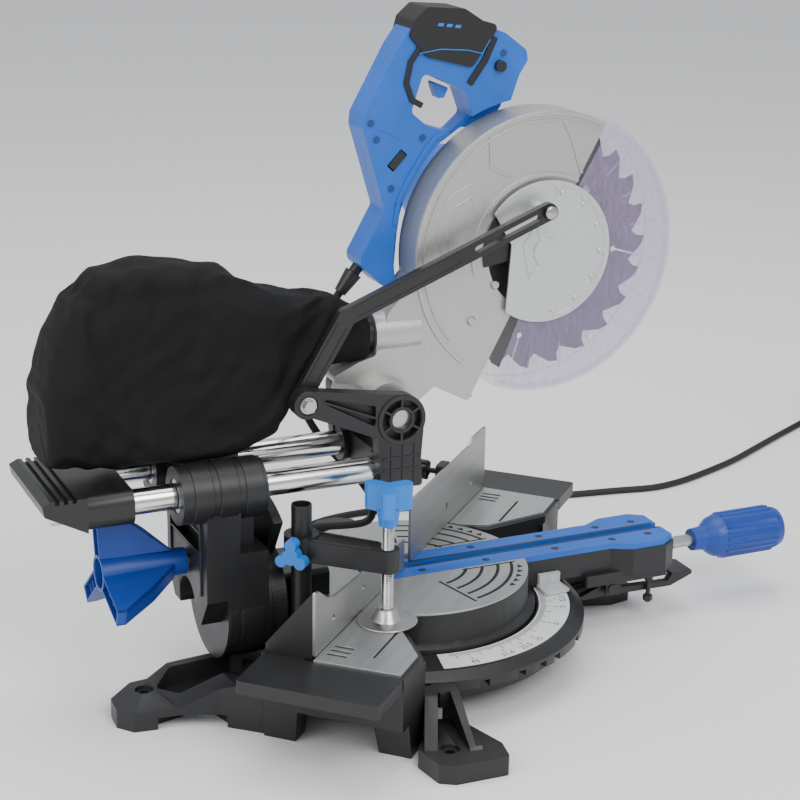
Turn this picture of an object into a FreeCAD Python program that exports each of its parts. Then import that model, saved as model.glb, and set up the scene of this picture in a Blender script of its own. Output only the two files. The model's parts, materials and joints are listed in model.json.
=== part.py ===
"""Sliding compound mitre saw, modelled piece by piece in millimetres.

Two frames are used. The base frame has X along the fence, to the operator's right, -Y to the front and
+Z up, with the mitre axis on X = Y = 0 and the bench at Z = 0. The head frame is the same frame turned about
the mitre axis by MITRE, so the turntable, arm, rails and saw head are drawn square in it and turned on export.
The row's origin is the centre of the four bench bolt holes, BOLTS_Y behind the mitre axis.
"""

import FreeCAD, Part
import math
import os

V = FreeCAD.Vector

# ---- driving dimensions ------------------------------------------------------------------------------------
TABLE = 94.0            # height of the table above the bench
MITRE = 45.0            # mitre angle of the stored pose, to the right
BOLTS_Y = 30.0          # centre of the bench bolt holes, behind the mitre axis
BOLT_SPACING = (440.0, 312.0)
BOLT_HOLE_R = 4.5

BLADE = (-130.0, TABLE + 322.0)       # blade axis in the head frame, (y, z)
BLADE_R = 127.5
BLADE_TEETH = 24
PIVOT = (39.0, TABLE + 181.0)         # chop pivot, (y, z)
LINK_BOLT = (135.0, TABLE + 207.0)    # lower pivot of the guard link
LINK_TIP = (-121.0, TABLE + 367.0)    # screw at the link's slotted end
MOTOR = (-88.0, TABLE + 358.0)        # motor axis

RAIL_X = 42.0           # rails either side of the head's middle plane
RAIL_R = 12.5
RAIL_Z = TABLE + 126.0
RAIL_Y = (20.0, 378.0)
BEARING_Y = (175.0, 258.0)            # rail bearing housings on the bevel arm
BEARING_R = 28.0

DRUM_R = 123.0          # turntable
RING_R = (133.0, 181.0)               # base ring under the scale
SCALE_R = (135.0, 166.0)
SCALE_Z = TABLE - 37.0
RUNNING = 0.05          # radial clearance of a running fit
GAP = 0.4               # clearance between parts that move past each other

GUARD_R = 138.0         # upper guard
GUARD_X = (-22.0, 17.0)
CLEAR_R = (140.0, 142.5)              # clear lower guard
CLEAR_X = (-26.5, 21.0)
CLEAR_ARC = (119.0, 292.0)            # degrees about the blade axis, from +y towards +z
HUB_R = 71.0

LEVER_PIN = (-224.0, TABLE - 51.0)    # pin of the detent lever, (y, z)
POST = (-136.0, 58.0)   # clamp post in the base frame, (x, y)
SCREW = (-135.0, -30.0)               # clamp spindle in the base frame
FENCE_T = 3.0
PLATE_T = 3.0           # table plates
FENCE_INNER = 9.0       # half of the gap between the fence halves
FENCE_LOW = TABLE + 0.6
BRACKET_LOW = TABLE - 2.0             # top of the casting behind the plates
BOARD_TOP = TABLE + 0.2               # kerf board
HEAD_SEAT = TABLE - 1.0               # seats of its screw heads
BOARD_SCREWS = [(x, y) for y in (-8, -80, -160, -228, -272) for x in (-18, 18)]
LUG = (36.0, 39.0, TABLE + 312.0)     # where the lead enters the handle's lug, in the head frame
LUG_SLOPE = -0.61, 0.79               # from the lead's way out back into the lug, (y, z)

CORD_R = 4.0


# ---- shape helpers -----------------------------------------------------------------------------------------
AXES = {"x": V(1, 0, 0), "y": V(0, 1, 0), "z": V(0, 0, 1)}


def place(point, axis, level):
    """A point of an outline, placed on the plane across the axis."""
    a, b = point
    return {"x": V(level, a, b), "y": V(a, level, b), "z": V(a, b, level)}[axis]


def outline(points, axis, level, corner=0.0):
    """A closed wire through the points, its corners rounded by tangent arcs."""
    corners = [place(p, axis, level) for p in points]
    if not corner:
        return Part.makePolygon(corners + corners[:1])
    edges, ends = [], []
    for n, here in enumerate(corners):
        before, after = corners[n - 1], corners[(n + 1) % len(corners)]
        u, w = (before - here), (after - here)
        angle = u.getAngle(w)
        trim = min(corner / math.tan(angle / 2), 0.45 * min(u.Length, w.Length))
        u.normalize()
        w.normalize()
        start, end = here + u * trim, here + w * trim
        radius = trim * math.tan(angle / 2)
        middle = u + w
        if trim < 0.05 or middle.Length < 0.02:
            ends.append((here, here, None))
            continue
        middle.normalize()
        centre = here + middle * (radius / math.sin(angle / 2))
        ends.append((start, end, Part.Arc(start, centre - middle * radius, end).toShape()))
    for n, (start, end, arc) in enumerate(ends):
        if arc:
            edges.append(arc)
        following = ends[(n + 1) % len(ends)][0]
        if (following - end).Length > 1e-6:
            edges.append(Part.LineSegment(end, following).toShape())
    return Part.Wire(edges)


def prism(points, axis, low, high, corner=0.0):
    """A polygon across the axis, drawn out from low to high."""
    return Part.Face(outline(points, axis, low, corner)).extrude(AXES[axis] * (high - low))


def block(low, high, corner=0.0, axis="z"):
    """A box between two corners; its edges along the axis may be rounded."""
    i, j, k = {"x": (1, 2, 0), "y": (0, 2, 1), "z": (0, 1, 2)}[axis]
    square = [(low[i], low[j]), (high[i], low[j]), (high[i], high[j]), (low[i], high[j])]
    return prism(square, axis, low[k], high[k], corner)


def rod(axis, centre, radius, low, high):
    """A cylinder along X, Y or Z through the centre."""
    return Part.makeCylinder(radius, high - low, place(centre, axis, low), AXES[axis])


def bush(axis, centre, outer, inner, low, high):
    return rod(axis, centre, outer, low, high).cut(rod(axis, centre, inner, low - 1, high + 1))


def turned(profile, axis, centre):
    """A solid of revolution from (radius, height) points about an axis through the centre."""
    side = {"x": V(0, 1, 0), "y": V(0, 0, 1), "z": V(1, 0, 0)}[axis]
    origin = place(centre, axis, 0)
    wire = Part.makePolygon([origin + side * r + AXES[axis] * h for r, h in profile + profile[:1]])
    return Part.Face(wire).revolve(origin, AXES[axis], 360)


def cone(axis, centre, r_low, r_high, low, high):
    return turned([(0, low), (r_low, low), (r_high, high), (0, high)], axis, centre)


def sector(axis, centre, outer, inner, low, high, start, end):
    """Part of a ring between two angles, counted from the first row axis towards the second."""
    def at(radius, degrees):
        a = math.radians(degrees)
        return place((centre[0] + radius * math.cos(a), centre[1] + radius * math.sin(a)), axis, low)

    middle = (start + end) / 2
    wire = Part.Wire([
        Part.Arc(at(outer, start), at(outer, middle), at(outer, end)).toShape(),
        Part.LineSegment(at(outer, end), at(inner, end)).toShape(),
        Part.Arc(at(inner, end), at(inner, middle), at(inner, start)).toShape(),
        Part.LineSegment(at(inner, start), at(outer, start)).toShape(),
    ])
    return Part.Face(wire).extrude(AXES[axis] * (high - low))


def tapered(low_points, high_points, low, high):
    """A solid between two polygons, one above the other."""
    return Part.makeLoft([outline(low_points, "z", low), outline(high_points, "z", high)], True, True)


def rect(x0, y0, x1, y1):
    return [(x0, y0), (x1, y0), (x1, y1), (x0, y1)]


def slot(axis, start, end, radius, low, high):
    """A round-ended bar or slot between two centres."""
    dx, dy = end[0] - start[0], end[1] - start[1]
    length = math.hypot(dx, dy)
    nx, ny = -dy / length * radius, dx / length * radius
    bar = prism([(start[0] + nx, start[1] + ny), (end[0] + nx, end[1] + ny),
                 (end[0] - nx, end[1] - ny), (start[0] - nx, start[1] - ny)], axis, low, high)
    return bar.fuse([rod(axis, start, radius, low, high), rod(axis, end, radius, low, high)])


def polar(centre, radius, degrees):
    a = math.radians(degrees)
    return centre[0] + radius * math.cos(a), centre[1] + radius * math.sin(a)


def join(*shapes):
    return shapes[0].multiFuse(list(shapes[1:])).removeSplitter()


def without(shape, *tools):
    return shape.cut(Part.makeCompound(list(tools)))


def group(*shapes):
    return Part.makeCompound(list(shapes))


def mirrored(shape):
    return shape.mirror(V(0, 0, 0), V(1, 0, 0))


def hexagon(axis, centre, across, low, high):
    points = [polar(centre, across / math.sqrt(3), 60 * n) for n in range(6)]
    return prism(points, axis, low, high)


def star_knob(axis, centre, lobe_at, lobe_r, lobes, low, high):
    """A clamping knob with round lobes."""
    parts = [rod(axis, centre, lobe_at * 0.75, low, high)]
    for n in range(lobes):
        parts.append(rod(axis, polar(centre, lobe_at, 90 + 360 / lobes * n), lobe_r, low, high))
    return join(*parts)


# ---- base --------------------------------------------------------------------------------------------------
TABLE_SIDE = [(124, 18), (242, 18), (242, -88), (192, -88), (130, -44), (124, -16)]
WING = [(242, 50), (303, 50), (303, -88), (242, -88)]
PAD_H = 19.0


def drum_clearance(top):
    return rod("z", (0, 0), RING_R[0], 28, top)


def side_body():
    """The right-hand table body, its wing and its front leg."""
    body = prism(TABLE_SIDE, "z", 38, TABLE - PLATE_T)
    hollow = prism([(134, 10), (236, 10), (236, -82), (194, -82), (136, -42)], "z", 30, TABLE - PLATE_T - 6)
    body = body.cut(hollow)
    wing = prism(WING, "z", TABLE - 15, TABLE - 2, 4).cut(
        prism([(236, 44), (297, 44), (297, -82), (236, -82)], "z", TABLE - 20, TABLE - 6, 4))
    back = block((242 - 12, 10, 60), (242, 52, TABLE - 2))
    front_leg = tapered(rect(187, -88, 218, -56), rect(184, -88, 236, -46), 0, 84)
    return join(body, wing, back, front_leg)


def front_foot():
    pad = prism([(231, -99), (252, -127), (248, -143), (212, -181), (190, -166), (160, -112), (172, -90)],
                "z", 0, PAD_H, 4)
    bridge = prism([(175, -100), (150, -120), (105, -128), (120, -96), (168, -84)], "z", 34, SCALE_Z - 8)
    ribs = []
    for outer, inner in (((232, -112), (163, -86)), ((214, -150), (146, -98))):
        dx, dy = inner[0] - outer[0], inner[1] - outer[1]
        length = math.hypot(dx, dy)
        rib = prism([(0, 0), (length, 0), (length, SCALE_Z - 8), (length - 22, SCALE_Z - 8), (4, PAD_H + 3),
                     (0, PAD_H - 2)], "y", -6, 6)
        rib.rotate(V(0, 0, 0), V(0, 0, 1), math.degrees(math.atan2(dy, dx)))
        rib.translate(V(outer[0], outer[1], 0))
        ribs.append(rib)
    lever_way = sector("z", (0, 0), 330, RING_R[1] - 14, PAD_H + 3, SCALE_Z, -145, -35)
    return without(join(pad, bridge, *ribs), drum_clearance(SCALE_Z - 1), lever_way)


def rear_foot():
    shape = [(270, 170), (268, 190), (250, 206), (212, 206), (120, 132), (112, 48), (224, 46), (227, 102),
             (243, 136)]
    foot = prism(shape, "z", 0, 45, 3)
    slope = prism([(300, PAD_H), (222, PAD_H), (176, 45), (176, 60), (300, 60)], "y", -240, 240)
    slope.rotate(V(240, 170, 0), V(0, 0, 1), 38)
    pocket = prism([(212, 178), (190, 176), (140, 134), (134, 66), (206, 64), (206, 108), (224, 146)],
                   "z", 12, 60, 6)
    low_back = prism([(250, 240), (60, 140), (60, 20), (126, 20), (138, 70), (190, 118), (262, 186)],
                     "z", 31, 60)
    arch = prism([(280, 122), (222, 92), (200, 130), (250, 160)], "z", -1, 12)
    under = prism([(220, 60), (206, 110), (212, 150), (150, 120), (130, 70)], "z", -1, 7)
    foot = without(foot, slope, pocket, low_back, arch, under)
    post = tapered(rect(205, 24, 228, 56), rect(205, 14, 240, 50), 0, 84)
    return join(foot, post)


def base_casting():
    ring = turned([(RING_R[0], 22), (RING_R[0], SCALE_Z - 1), (SCALE_R[1] + 1, SCALE_Z - 1),
                   (SCALE_R[1] + 1, SCALE_Z), (171, SCALE_Z), (RING_R[1], SCALE_Z - 7), (RING_R[1], 40),
                   (160, 40), (160, 22)], "z", (0, 0))
    ring = ring.common(block((-200, -200, 0), (200, 10, 120)))
    notches = []
    for side in (-1, 1):
        for degrees in (0, 15, 22.5, 31.6, 45):
            notch = block((RING_R[1] - 12, -5, 30), (RING_R[1] + 2, 5, 47))
            notch.rotate(V(0, 0, 0), V(0, 0, 1), -90 + side * degrees)
            notches.append(notch)
    floor = rod("z", (0, 0), 140, 20, 28)
    hub = join(rod("z", (0, 0), 44, 20, 37.6), *[
        block((40, -4, 20), (134, 4, 36)).rotated(V(0, 0, 0), V(0, 0, 1), a) for a in range(0, 360, 60)])
    rear = prism([(-225, 60), (225, 60), (225, 84), (110, 132), (-110, 132), (-225, 84)], "z", 8, 28)
    tie = join(*[block((s * 150 - 60, 0, 20), (s * 150 + 60, 50, 40)) for s in (-1, 1)])
    post_boss = rod("z", POST, 15, 20, TABLE - 34)
    sides = [side_body(), front_foot(), rear_foot()]
    sides += [mirrored(s) for s in sides]
    casting = join(ring, floor, hub, rear, tie, post_boss, *sides)
    drum = rod("z", (0, 0), RING_R[0], 37.6, 130)
    trough = turned([(44, 28.5), (RING_R[0], 28.5), (RING_R[0], 37.7), (44, 37.7)], "z", (0, 0))
    holes = [rod("z", (0, 0), 8.2, 0, 60), rod("z", POST, 10 + RUNNING, TABLE - 54, 200), drum, trough]
    for sx in (-1, 1):
        for sy in (-1, 1):
            centre = sx * BOLT_SPACING[0] / 2, BOLTS_Y + sy * BOLT_SPACING[1] / 2
            holes.append(rod("z", centre, BOLT_HOLE_R, -1, 80))
            holes.append(rod("z", centre, 9, PAD_H - 3, 80))
    return without(casting, *notches, *holes)


def plate_outline():
    return [(126, 0), (242, 0), (240, -84), (195, -84), (136, -41), (126, -12)]


def table_plates():
    right = prism(plate_outline(), "z", TABLE - PLATE_T, TABLE)
    slots = [block((222 - 9 * n, -26, 80), (226 - 9 * n, -6, 100)) for n in range(3)]
    slots.append(block((150, -50, 80), (216, -47.5, 100)))
    right = without(right.cut(rod("z", (0, 0), DRUM_R + 2, 80, 100)), *slots)
    return group(right, mirrored(right))


FENCE_LEFT = [(-237, FENCE_LOW), (-237, TABLE + 64), (-228, TABLE + 62), (-205, TABLE + 46), (-192, TABLE + 43),
              (-FENCE_INNER, TABLE + 32), (-FENCE_INNER, FENCE_LOW)]
FENCE_RIGHT = [(FENCE_INNER, FENCE_LOW), (FENCE_INNER, TABLE + 66), (190, TABLE + 66), (200, TABLE + 72),
               (244, TABLE + 72), (244, FENCE_LOW)]
FENCE_HOLES_Z = TABLE + 22
FENCE_HOLES = {"left": (-194, -120), "right": (118, 196)}


def fence(points, holes):
    plate = prism(points, "y", 0, FENCE_T, 1.5)
    return without(plate, *[rod("y", (x, FENCE_HOLES_Z), 3.5, -1, 5) for x in holes])


def fence_bracket(height):
    """Black bracket behind the right fence half: a foot on the table, gussets and an end rib."""
    low = TABLE - PLATE_T
    foot = block((134, FENCE_T, low), (229.5, 17, TABLE + 7))
    end = prism([(FENCE_T, BRACKET_LOW), (FENCE_T, TABLE + height), (FENCE_T + 3, TABLE + height),
                 (50, TABLE + 6), (50, BRACKET_LOW)], "x", 229, 237)
    gussets = []
    for x in (150, 176, 214):
        gussets.append(prism([(FENCE_T, TABLE), (FENCE_T, TABLE + 26), (15, TABLE + 7), (15, TABLE)], "x",
                             x - 3, x + 3))
    return join(foot, end, *gussets)


def fence_brackets():
    lock_boss = fence_lock_boss().cut(rod("y", LOCK_AT, 3 + RUNNING, 0, 20))
    return group(mirrored(fence_bracket(60)), fence_bracket(64), lock_boss)


def mitre_scale():
    return sector("z", (0, 0), SCALE_R[1], SCALE_R[0], SCALE_Z - 1, SCALE_Z - 0.2, -147, -33)


def mitre_pivot_bolt():
    shank, head = rod("z", (0, 0), 8, 20, 76), hexagon("z", (0, 0), 24, 13, 20)
    washer, nut = rod("z", (0, 0), 15, 61, 64), hexagon("z", (0, 0), 24, 64, 74)
    return join(shank, head, washer, nut)


def clamp_post():
    post = rod("z", POST, 10, TABLE - 54, TABLE + 106)
    return post.cut(rod("z", POST, 8, TABLE + 60, TABLE + 120))


LOCK_AT = (122.0, TABLE + 58.0)       # hand screw behind the right fence half, (x, z)


def post_lock_knob():
    """Hand screw behind the fence, for the clamp post when it stands on that side."""
    return join(star_knob("y", LOCK_AT, 7, 4, 6, 24, 34), rod("y", LOCK_AT, 3, FENCE_T + 1, 24))


def fence_lock_boss():
    x, z = LOCK_AT
    return prism([(x - 16, TABLE + 30), (x + 16, TABLE + 30), (x + 10, z + 10), (x - 10, z + 10)], "y",
                 FENCE_T, 11.6, 3)


# ---- clamp -------------------------------------------------------------------------------------------------
CLAMP_Z = (TABLE + 50, TABLE + 76)


def clamp_arm():
    low, high = CLAMP_Z
    arm = prism([(POST[0] - 13, POST[1] - 6), (POST[0] + 13, POST[1] - 6), (SCREW[0] + 11, SCREW[1]),
                 (SCREW[0] - 11, SCREW[1])], "z", low + 2, high - 2)
    arm = join(arm, rod("z", POST, 17, low, high), rod("z", SCREW, 11, low + 2, high - 2))
    thread = rod("z", SCREW, 6 + RUNNING, low - 10, high + 10)
    cross = rod("x", (POST[1] - 2, (low + high) / 2), 3.1, POST[0] - 40, POST[0] - 5)
    return without(arm, rod("z", POST, 10 + RUNNING, low - 10, high + 10), thread, cross)


def clamp_arm_knob():
    """Three-lobed hand screw that holds the clamp arm on its post."""
    y, z = POST[1] - 2, (CLAMP_Z[0] + CLAMP_Z[1]) / 2
    head = star_knob("x", (y, z), 11, 6, 3, POST[0] - 32, POST[0] - 21)
    shank = rod("x", (y, z), 3.05, POST[0] - 22, POST[0] - 10.4)
    return join(head, shank)


def clamp_spindle():
    rod_part = rod("z", SCREW, 6, TABLE + 8, TABLE + 104)
    foot = turned([(0, TABLE), (29, TABLE), (29, TABLE + 1.6), (14, TABLE + 3.5), (9, TABLE + 12),
                   (7, TABLE + 13), (6.02, TABLE + 13), (6.02, TABLE + 7.9), (0, TABLE + 7.9)], "z", SCREW)
    return group(rod_part, foot)


def clamp_knob():
    low, high = TABLE + 98, TABLE + 137
    stem = cone("z", SCREW, 9, 11, low, low + 16)
    wings = [slot("z", polar(SCREW, 4, a), polar(SCREW, 18, a), 7, low + 14, high) for a in (80, 200, 320)]
    knob = join(stem, *wings)
    return knob.cut(rod("z", SCREW, 6.0, low - 1, TABLE + 104))


# ---- turntable (head frame) --------------------------------------------------------------------------------
def turntable():
    t = TABLE
    drum = turned([(0, 38), (24, 38), (24, 70), (112, 70), (112, 42), (130, 42), (131, 44), (131, 60),
                   (DRUM_R, 63), (DRUM_R, t - 2), (0, t - 2)], "z", (0, 0))
    arm = prism([(-27, -100), (27, -100), (27, -222), (40, -243), (40, -282), (30, -297), (-30, -297),
                 (-40, -282), (-40, -243), (-27, -222)], "z", SCALE_Z + 1.6, t - 6)
    chin = block((-34, -290, t - 44), (34, -190, SCALE_Z + 6), 4)
    lugs = [block((low, LEVER_PIN[0] - 8, LEVER_PIN[1] - 7), (low + 6, LEVER_PIN[0] + 8, t - 42))
            for low in (-32, -15.5)]
    neck = block((-36, 100, 44), (36, 154, t + 26), 6, "y")
    disc = join(rod("y", (0, t), 58, 152, 167), block((-45, 104, 60), (45, 124, t - 2)))
    body = join(drum, arm, chin, neck, disc, *lugs)
    body = body.cut(block((-30, -286, 30), (30, -140, 62)).cut(drum))
    trough = block((-12, -287, t - 16), (9, 40, t + 5))
    bores = [rod("y", (0, t), 9 + RUNNING, 110, 200), rod("z", (0, 0), 8 + RUNNING, 0, 62),
             rod("z", (0, 0), 16, 61, 82), rod("y", (0, t - 24), 6.5 + RUNNING, -310, -270),
             rod("x", LEVER_PIN, 4.4, -60, 0)]
    body = without(body, trough, *bores)
    return body.cut(block((-28.2, -285, t - 6.2), (28.2, 60, t + 5)))


def turntable_plate():
    plate = rod("z", (0, 0), DRUM_R - 0.5, TABLE - 2, TABLE)
    cuts = [block((-28.4, -200, 80), (28.4, 52.6, 100)), block((-36.3, 99.7, 80), (36.3, 200, 100))]
    for radius in (60, 76, 92):
        for start in (-60, 200):
            cuts.append(sector("z", (0, 0), radius + 1.5, radius - 1.5, 80, 100, start, start + 40))
    return without(plate, *cuts)


KERF = [(28, 52), (28, -222), (39, -243), (39, -280), (29, -295), (4.5, -295), (4.5, 52)]


def kerf_board():
    right = prism(KERF, "z", TABLE - 6, BOARD_TOP)
    right = without(right, *[rod("z", at, 3.9, HEAD_SEAT, BOARD_TOP + 1) for at in BOARD_SCREWS])
    return group(right, mirrored(right))


def turntable_screws():
    t, stop_at = TABLE, (-28, -270)
    heads = [rod("z", at, 3.4, HEAD_SEAT, t + 0.1) for at in BOARD_SCREWS]
    stop = join(hexagon("z", stop_at, 9, t - 72, t - 66), rod("z", stop_at, 2.5, t - 74, t - 44),
                hexagon("z", stop_at, 8, t - 49, t - 44))
    pin = join(rod("x", LEVER_PIN, 4.4, -32, -8), rod("x", LEVER_PIN, 6, -33.5, -32))
    return group(stop, pin, *heads)


def mitre_pointer():
    """Clear window over the scale, screwed to the arm's left side."""
    base = block((-52, -162, SCALE_Z + 2.2), (-27.2, -134, SCALE_Z + 4.2), 4)
    tongue = block((-32, -160, SCALE_Z + 2.2), (-27.2, -136, SCALE_Z + 16))
    return join(base, tongue)


def bevel_scale():
    """Sector with the bevel scale, on the back of the turntable."""
    return sector("y", (0, TABLE), 106, 58, 156, 166, 75, 122)


def mitre_lock_rod():
    return rod("y", (0, TABLE - 24), 6.5, -345, -285)


def mitre_grip():
    z = TABLE - 24
    grip = turned([(0, -450), (14, -450), (21, -446), (24, -436), (24, -372), (21, -362), (13, -352),
                   (12, -338), (6.52, -338), (6.52, -345), (0, -345)], "y", (0, z))
    flutes = [rod("y", polar((0, z), 27, 45 + 90 * n), 6, -440, -372) for n in range(4)]
    return without(grip, *flutes)


def detent_lever():
    """Lever under the arm, drawn released; its nose goes up into the ring's notches."""
    y, z = LEVER_PIN
    lever = prism([(-171, z - 11), (-171, z - 7.5), (-190, z - 7), (-210, z + 1), (y + 7, z + 6), (y - 7, z + 6), (-240, z - 3),
                   (-296, z - 5), (-302, z + 3), (-326, z + 3), (-326, z - 1), (-300, z - 11), (y, z - 10)],
                  "x", -24.5, -16.5)
    plate = block((-24.5, -326, z - 1), (10, -302, z + 3), 3)
    nose = join(block((-24.5, -181, z - 11), (3, -171, z - 7.5)),
                block((-1.5, -181, z - 11), (1.5, -171, z - 3.6)))
    return join(lever, plate, nose).cut(rod("x", LEVER_PIN, 4.4 + RUNNING, -60, 0))


# ---- bevel arm (head frame) --------------------------------------------------------------------------------
def bevel_arm():
    t = TABLE
    hub = rod("y", (0, t), 60, 168, 213)
    column = prism([(-60, t + 20), (-60, t + 60), (-66, RAIL_Z), (66, RAIL_Z), (60, t + 60), (60, t + 20),
                    (40, t - 10), (-40, t - 10)], "y", 201, 234)
    lower = prism([(-60, t - 8), (-60, t + 66), (60, t + 66), (60, t - 8)], "y", 172, 213)
    web = block((-40, 180, t + 40), (40, 201, t + 96))
    housings = [rod("y", (s * RAIL_X, RAIL_Z), BEARING_R, *BEARING_Y) for s in (-1, 1)]
    bridge = block((-42, 190, RAIL_Z - 18), (42, 244, RAIL_Z + 14), 5, "y")
    body = join(hub, column, lower, web, bridge, *housings)
    cuts = [rod("y", (s * RAIL_X, RAIL_Z), RAIL_R + 4, 170, 262) for s in (-1, 1)]
    cuts += [rod("y", (0, t), 24, 204, 240), rod("y", (0, t), 9.0 + RUNNING, 150, 240),
             rod("y", (0, t + 42), 7 + RUNNING, 150, 240),
             prism([(-46, t + 60), (46, t + 60), (40, RAIL_Z - 22), (-40, RAIL_Z - 22)], "y", 222, 240),
             rod("x", (216, RAIL_Z), 4 + RUNNING, 40, 90)]
    body = without(body, *cuts)
    clear = sector("y", (0, t), 107, 61, 155, 167.4, 0, 359.9)
    return body.cut(clear)


def rail_bushes():
    shapes = []
    for s in (-1, 1):
        for low, high in ((176, 200), (233, 257)):
            shapes.append(bush("y", (s * RAIL_X, RAIL_Z), RAIL_R + 4, RAIL_R + RUNNING, low, high))
    return group(*shapes)


def bevel_hub_bolt():
    t = TABLE
    return join(rod("y", (0, t), 9, 112, 206), bush("y", (0, t), 17, 8.9, 204, 207),
                hexagon("y", (0, t), 24, 207, 218))


def bevel_lock_stud():
    return rod("y", (0, TABLE + 42), 7, 168.5, 250)


def bevel_lock_handle():
    """Three-winged handle on the bevel lock stud."""
    t, y0, y1 = (0, TABLE + 42), 236, 322
    collar = join(rod("y", t, 14, y0, y0 + 22), cone("y", t, 14, 27, y0 + 22, y1))
    wings = []
    for a in (80, 200, 320):
        tip = polar(t, 62, a)
        side = polar((0, 0), 9, a + 90)
        near = polar(t, 10, a)
        wide = prism([(near[0] + side[0], near[1] + side[1]), (tip[0] + side[0], tip[1] + side[1]),
                      (tip[0] - side[0], tip[1] - side[1]), (near[0] - side[0], near[1] - side[1])],
                     "y", y0 + 22, y1)
        taper = cone("y", t, 15, 66, y0 + 22, y1 - 14).fuse(rod("y", t, 66, y1 - 14, y1))
        wings.append(wide.common(taper))
    body = join(collar, *wings)
    return without(body, rod("y", t, 7.02, y0 - 1, 251), rod("y", t, 20, y1 - 40, y1 + 1))


# ---- carriage (head frame) ---------------------------------------------------------------------------------
def slide_rails():
    return group(*[rod("y", (s * RAIL_X, RAIL_Z), RAIL_R, *RAIL_Y) for s in (-1, 1)])


def rear_cap():
    z = RAIL_Z
    body = block((-62, 302, z - 17), (62, 352, z + 17), 12, "y")
    grip = prism([(346, z - 17), (386, z + 4), (388, z + 14), (380, z + 18), (346, z + 17)], "x", -62, 62)
    body = join(body, grip)
    ribs = [block((-64, 356 + 8 * n, z + 14), (64, 360 + 8 * n, z + 30)) for n in range(3)]
    cuts = [rod("y", (s * RAIL_X, z), RAIL_R, 290, RAIL_Y[1]) for s in (-1, 1)]
    cuts.append(block((-22, 300, z - 30), (22, 344, z + 10)))
    return without(body, *ribs, *cuts)


def bracket_side(s):
    """One cheek of the head bracket; s is its side, and the left one carries the link."""
    low, high = (-66, -52) if s < 0 else (52, 66)
    boss = rod("x", PIVOT, 25, low, high)
    foot = prism([(15, PIVOT[1]), (18, RAIL_Z + 14), (16, RAIL_Z - 14), (58, RAIL_Z - 14), (62, RAIL_Z + 20),
                  (64, PIVOT[1] - 8)], "x", low, high, 3)
    parts = [boss, foot]
    if s < 0:
        parts.append(rod("x", LINK_BOLT, 14, low, high))
        parts.append(prism([(34, PIVOT[1] + 24), (137, LINK_BOLT[1] + 14), (131, LINK_BOLT[1] - 13),
                            (50, PIVOT[1] - 22)], "x", low, high))
        pocket = prism([(66, PIVOT[1] + 17), (118, LINK_BOLT[1] + 4), (118, LINK_BOLT[1] - 1),
                        (66, PIVOT[1] - 4)], "x", low - 1, low + 7, 2)
    else:
        pocket = prism([(24, RAIL_Z + 20), (52, RAIL_Z + 20), (50, RAIL_Z + 4), (26, RAIL_Z + 4)], "x",
                       high - 7, high + 1, 2)
    ring = bush("x", PIVOT, 20, 13, low - 1 if s < 0 else high - 7, low + 7 if s < 0 else high + 1)
    return without(join(*parts), pocket, ring)


def head_bracket():
    cheeks = [bracket_side(-1), bracket_side(1)]
    clamps = []
    for s in (-1, 1):
        clamps.append(rod("y", (s * RAIL_X, RAIL_Z), 18, 16, 60))
        inner, outer = (s * 30, s * 60) if s > 0 else (s * 60, s * 30)
        clamps.append(block((inner, 16, RAIL_Z - 14), (outer, 58, RAIL_Z + 20)))
    web = block((-54, 22, RAIL_Z - 12), (54, 54, RAIL_Z + 16))
    body = join(*cheeks, *clamps, web)
    bores = [rod("y", (s * RAIL_X, RAIL_Z), RAIL_R, RAIL_Y[0], 70) for s in (-1, 1)]
    bores += [rod("x", PIVOT, 9.5, -80, 80), rod("x", LINK_BOLT, 4, -80, -20)]
    return without(body, *bores)


def bracket_pins():
    """The chop pivot shaft and the link's bolt."""
    low = -66
    bolt = join(rod("x", LINK_BOLT, 4, low, -38.5), bush("x", LINK_BOLT, 8, 3.9, low - 1.5, low),
                hexagon("x", LINK_BOLT, 11, low - 7, low - 1.5))
    return group(rod("x", PIVOT, 9.5, -62, 66), bolt)


def return_spring():
    """Torsion spring round the pivot shaft, drawn as separate turns."""
    return group(*[Part.makeTorus(15.5, 1.8, V(43.0 + 4.1 * n, PIVOT[0], PIVOT[1]), V(1, 0, 0))
                   for n in range(2)])


def slide_lock_knob():
    """Hand screw on the right bearing housing that locks the slide."""
    y, z = 216, RAIL_Z
    return join(rod("x", (y, z), 4, RAIL_X + RAIL_R + 0.5, 86), star_knob("x", (y, z), 11, 5, 5, 84, 102))


# ---- saw head (head frame) ---------------------------------------------------------------------------------
NECK = [(-71, 189), (-51, 176), (-15, 195), (14, 172), (39, 153), (64, 176), (60, 205), (100, 212), (66, 228),
        (48, 233), (35, 274), (7, 306), (-40, 300), (-80, 230)]


def lifted(points):
    return [(y, TABLE + z) for y, z in points]


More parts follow.
